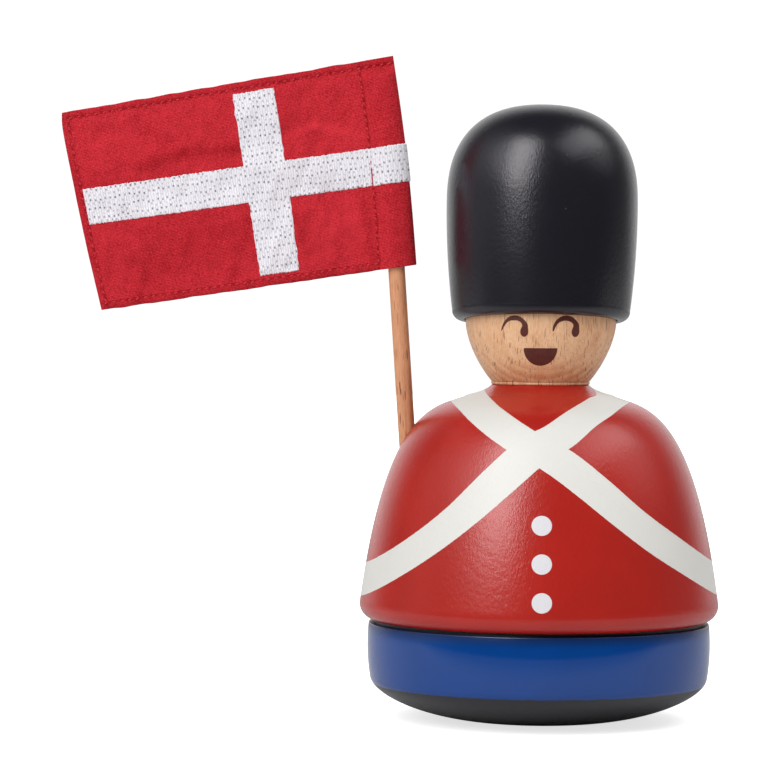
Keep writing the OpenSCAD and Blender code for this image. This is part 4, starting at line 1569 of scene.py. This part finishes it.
@dataclass(frozen=True)
class FlagStitching:
    """The sewn lines of the hems and of the sleeve's seam, stitch by stitch."""

    form: FlagForm
    pitch: float = 1.94
    half_l: float = 0.58
    half_w: float = 0.27
    half_h: float = 0.26
    slant: float = 20.0
    lift: float = 0.03
    probe: float = 0.25
    top_start: float = 1.2
    foot_start: float = 0.7
    side_start: float = 0.6
    seam_aside: float = 0.05

    def lines(self) -> list[tuple[np.ndarray, np.ndarray]]:
        """The sewn lines as places (a, t), one to a stitch: top, foot, free edge and seam."""
        f, e = self.form, self.form.sewn
        tops = np.arange(self.top_start, f.width - e, self.pitch)
        feet = np.arange(f.sleeve + self.foot_start, f.width - e, self.pitch)
        sides = np.arange(e + self.side_start, f.height - e, self.pitch)
        return [(tops, np.full_like(tops, e)), (feet, np.full_like(feet, f.height - e)),
                (np.full_like(sides, f.width - e), sides),
                (np.full_like(sides, f.sleeve + self.seam_aside), sides)]

    def grain(self) -> tuple[np.ndarray, np.ndarray]:
        """One stitch: an arched spindle of 8 rings of 6 points, in shares of its half sizes."""
        u = np.linspace(-1, 1, 8)[:, None]
        turn = full_turn(6)[None, :]
        size = np.sqrt(np.clip(1 - u ** 4, 0.02, 1))
        arch = 0.9 * u * u
        spindle = np.stack([u + 0 * turn, size * np.cos(turn), size * np.sin(turn) - arch], -1)
        return spindle.reshape(-1, 3), grid_faces(8, 6, ring=True)

    def build(self) -> bpy.types.Object:
        """Sets a spindle on every place, along its line, on both layers."""
        shape, cells = self.grain()
        lines = self.lines()
        a, t = (np.concatenate(places) for places in zip(*lines))
        upright = np.concatenate([np.full(len(line[0]), i > 1) for i, line in enumerate(lines)])
        spin, points = np.radians(self.slant), []
        for side in Side:
            here, ahead, below = (
                self.form.surface(side.value * self.form.column(a + more, t / self.form.height),
                                  t + lower, self.lift)
                for more, lower in ((0, 0), (self.probe, 0), (0, self.probe)))
            along, down = unit(ahead - here), unit(below - here)
            main = np.where(upright[:, None], down, along)
            out = unit(np.cross(along, down))
            out = out * np.where(out[:, 1:2] * side.value < 0, -1.0, 1.0)
            other = np.cross(out, main)
            axes = ((main * np.cos(spin) + other * np.sin(spin)) * self.half_l,
                    (other * np.cos(spin) - main * np.sin(spin)) * self.half_w,
                    out * self.half_h)
            offset = sum(shape[None, :, i, None] * axis[:, None] for i, axis in enumerate(axes))
            points.append((here[:, None] + offset).reshape(-1, 3))
        points = np.concatenate(points)
        first = np.arange(len(points) // len(shape)) * len(shape)
        faces = (cells[None] + first[:, None, None]).reshape(-1, 4)
        return make_piece("flag_stitching", points, faces.tolist())


# Stage


@dataclass(frozen=True)
class Lamp:
    """A soft box that looks at the figure's middle.

    way goes from the figure to the lamp, size is its width and height in metres, and power is
    in watts.
    """

    name: str
    way: tuple[float, float, float]
    size: tuple[float, float]
    power: float
    distance: float = 1.15
    middle: tuple[float, float, float] = (0.0, 0.0, 0.08)

    def build(self) -> None:
        """Hangs the lamp, where the camera doesn't see it."""
        data = bpy.data.lights.new(self.name, "AREA")
        data.shape, data.size, data.size_y, data.energy = "RECTANGLE", *self.size, self.power
        lamp = bpy.data.objects.new(self.name, data)
        ahead = Vector(self.way).normalized()
        lamp.rotation_euler = ahead.to_track_quat("Z", "Y").to_euler()
        lamp.location = Vector(self.middle) + ahead * self.distance
        lamp.visible_camera = False
        bpy.context.scene.collection.objects.link(lamp)


@dataclass(frozen=True)
class Stage:
    """Floor, lamps, world and camera.

    A glow is its way from the figure, the cosines at which it starts and is full, and its power.
    """

    focal_px: float = 3800.0
    image_px: float = 781.0
    sensor_mm: float = 36.0
    eye: tuple[float, float, float] = (-35.10, -886.81, 102.4)
    down: float = 1.6656
    roll: float = 0.38
    floor_half: float = 2500.0
    lamps: tuple[Lamp, ...] = (Lamp("key_lamp", (-0.42, -0.66, 0.62), (0.52, 1.0), 9.7),
                               Lamp("side_lamp", (0.57, -0.19, 0.79), (1.15, 0.5), 3.5))
    glows: tuple[tuple[Colour, float, float, float], ...] = (
        ((-0.55, -0.58, 0.60), 0.84, 0.98, 1.7), ((0.75, -0.03, 0.66), 0.88, 0.99, 0.95),
        ((0.88, 0.42, 0.15), 0.80, 0.99, 0.10))

    def camera(self) -> None:
        """Places the camera where the curves of the photograph's rims and hem put it."""
        data = bpy.data.cameras.new("camera")
        data.sensor_width = self.sensor_mm
        data.lens = self.focal_px / self.image_px * self.sensor_mm
        data.clip_start, data.clip_end = 0.01, 50.0
        pitch, roll = np.radians(self.down), np.radians(self.roll)
        right = Vector((1, 0, 0))
        ahead = Vector((0, np.cos(pitch), -np.sin(pitch)))
        up = right.cross(ahead)
        side = right * np.cos(roll) + up * np.sin(roll)
        top = up * np.cos(roll) - right * np.sin(roll)
        place = Matrix((side, top, -ahead)).transposed().to_4x4()
        place.translation = Vector(self.eye) * MM
        seen = bpy.data.objects.new("camera", data)
        seen.matrix_world = place
        bpy.context.scene.collection.objects.link(seen)
        bpy.context.scene.camera = seen

    def world(self) -> None:
        """A white room behind and beside the figure, and a dark one in front, for its gloss.

        Soft glows widen the reflections of the two lamps and light the right edge. Soft light
        comes from the back and the right more than from the front. The camera sees plain white.
        """
        world = bpy.data.worlds.new("studio")
        bpy.context.scene.world = world
        world.use_nodes = True
        world.node_tree.nodes.clear()
        g = Graph(world.node_tree)
        rays = g.add("LightPath")
        way = g.add("TexCoord")["Generated"]
        x, y, z = g.parts(way)
        low = g.step(z, -0.15, 0.1) * g.step(y, -0.8, -0.1)
        high = g.step(z, 0.15, 0.5) * 0.36
        left = g.step(x, -0.3, -0.85) * (low * 0.42 + high) * g.step(y, 0.6, -0.1)
        gloss = g.step(y, 0.45, 0.92) * 1.03 + left + 0.02
        for aim, start, full, power in self.glows:
            gloss = gloss + g.step(g.math("DOT_PRODUCT", way, aim), start, full) * power
        matt = g.step(y, 0.0, 0.6) * 0.42 + 0.32 + g.step(x, 0.2, 0.9) * 0.24
        soft = rays["Is Diffuse Ray"]
        level = g.math("MAXIMUM", matt * soft + gloss * (1.0 - soft), rays["Is Camera Ray"])
        glow = g.add("Background", {"Color": (1.0, 1.0, 1.0), "Strength": level})
        g.add("OutputWorld", {"Surface": glow[0]})

    def floor(self, effects: Effects) -> None:
        """Lays the floor."""
        half = self.floor_half
        corners = np.array([[-half, -half, 0], [half, -half, 0], [half, half, 0], [-half, half, 0]])
        floor = make_piece("floor", corners, [[0, 1, 2, 3]])
        floor.data.materials.append(PaleFloor("pale_floor").build(effects))

    def build(self, effects: Effects) -> None:
        """Makes the whole stage."""
        bpy.context.scene.view_settings.view_transform = "Standard"
        self.camera()
        self.world()
        self.floor(effects)
        for lamp in self.lamps:
            lamp.build()


def hand_over(piece: bpy.types.Object, node: str | None, body: Body,
              material: bpy.types.Material | None) -> bpy.types.Object:
    """Dresses a piece and ties it to the frame.

    Args:
        piece: the finished piece.
        node: the frame's node that it stands for, if any.
        body: the body that it rides on.
        material: its material, unless it has its own already.
    Returns:
        The piece.
    """
    if material is not None:
        piece.data.materials.append(material)
    if node is not None:
        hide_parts(node)
    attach(piece, body.value)
    log.info("%s: %d faces, %s by %s by %s mm", piece.name, len(piece.data.polygons),
             *np.round(np.ptp(points_of(piece), axis=0), 1))
    return piece


def main() -> None:
    """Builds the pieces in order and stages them."""
    logging.basicConfig(level=logging.INFO, format="%(name)s %(message)s")
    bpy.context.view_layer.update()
    effects = Effects()
    coat_paint = CoatPaint("coat_paint").build(effects)
    bare = Beech("bare_beech", gloss=0.6).build(effects)
    hand_over(BaseTurning().build(), "base", Body.FIGURE,
              BasePaint("base_paint").build(effects))
    pole = Flagpole()
    hand_over(CoatTurning().build(pole, bare, coat_paint), "coat", Body.FIGURE, None)
    hand_over(HeadTurning().build(), "head", Body.FIGURE,
              Beech("face_beech", has_face=True).build(effects))
    hand_over(HatTurning().build(), "hat", Body.FIGURE,
              HatPaint("hat_paint").build(effects))
    stick = hand_over(pole.build(), "flagpole", Body.POLE,
                      Beech("pole_beech", wood=srgb(210, 153, 114), deep=srgb(170, 106, 72),
                            fleck_width=0.55, fleck_length=5.5, gloss=0.55,
                            lean=pole.lean).build(effects))
    form = FlagForm(pole)
    cloth = hand_over(FlagSheet(form).build(), "flag_cloth", Body.FLAG,
                      FlagCotton("flag_cotton").build(effects))
    cross = hand_over(FlagEmbroidery(form).build(), "flag_cross", Body.FLAG,
                      CrossThread("cross_thread").build(effects))
    sewing = hand_over(FlagStitching(form).build(), None, Body.FLAG,
                       StitchThread("stitch_thread").build(effects))
    for name in ("base_dowel", "neck_dowel", "crown_dowel"):
        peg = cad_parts[name]
        peg.data.materials.clear()
        peg.data.materials.append(bare)
    Stage().build(effects)
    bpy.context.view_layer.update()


if __name__ == "__main__":
    main()
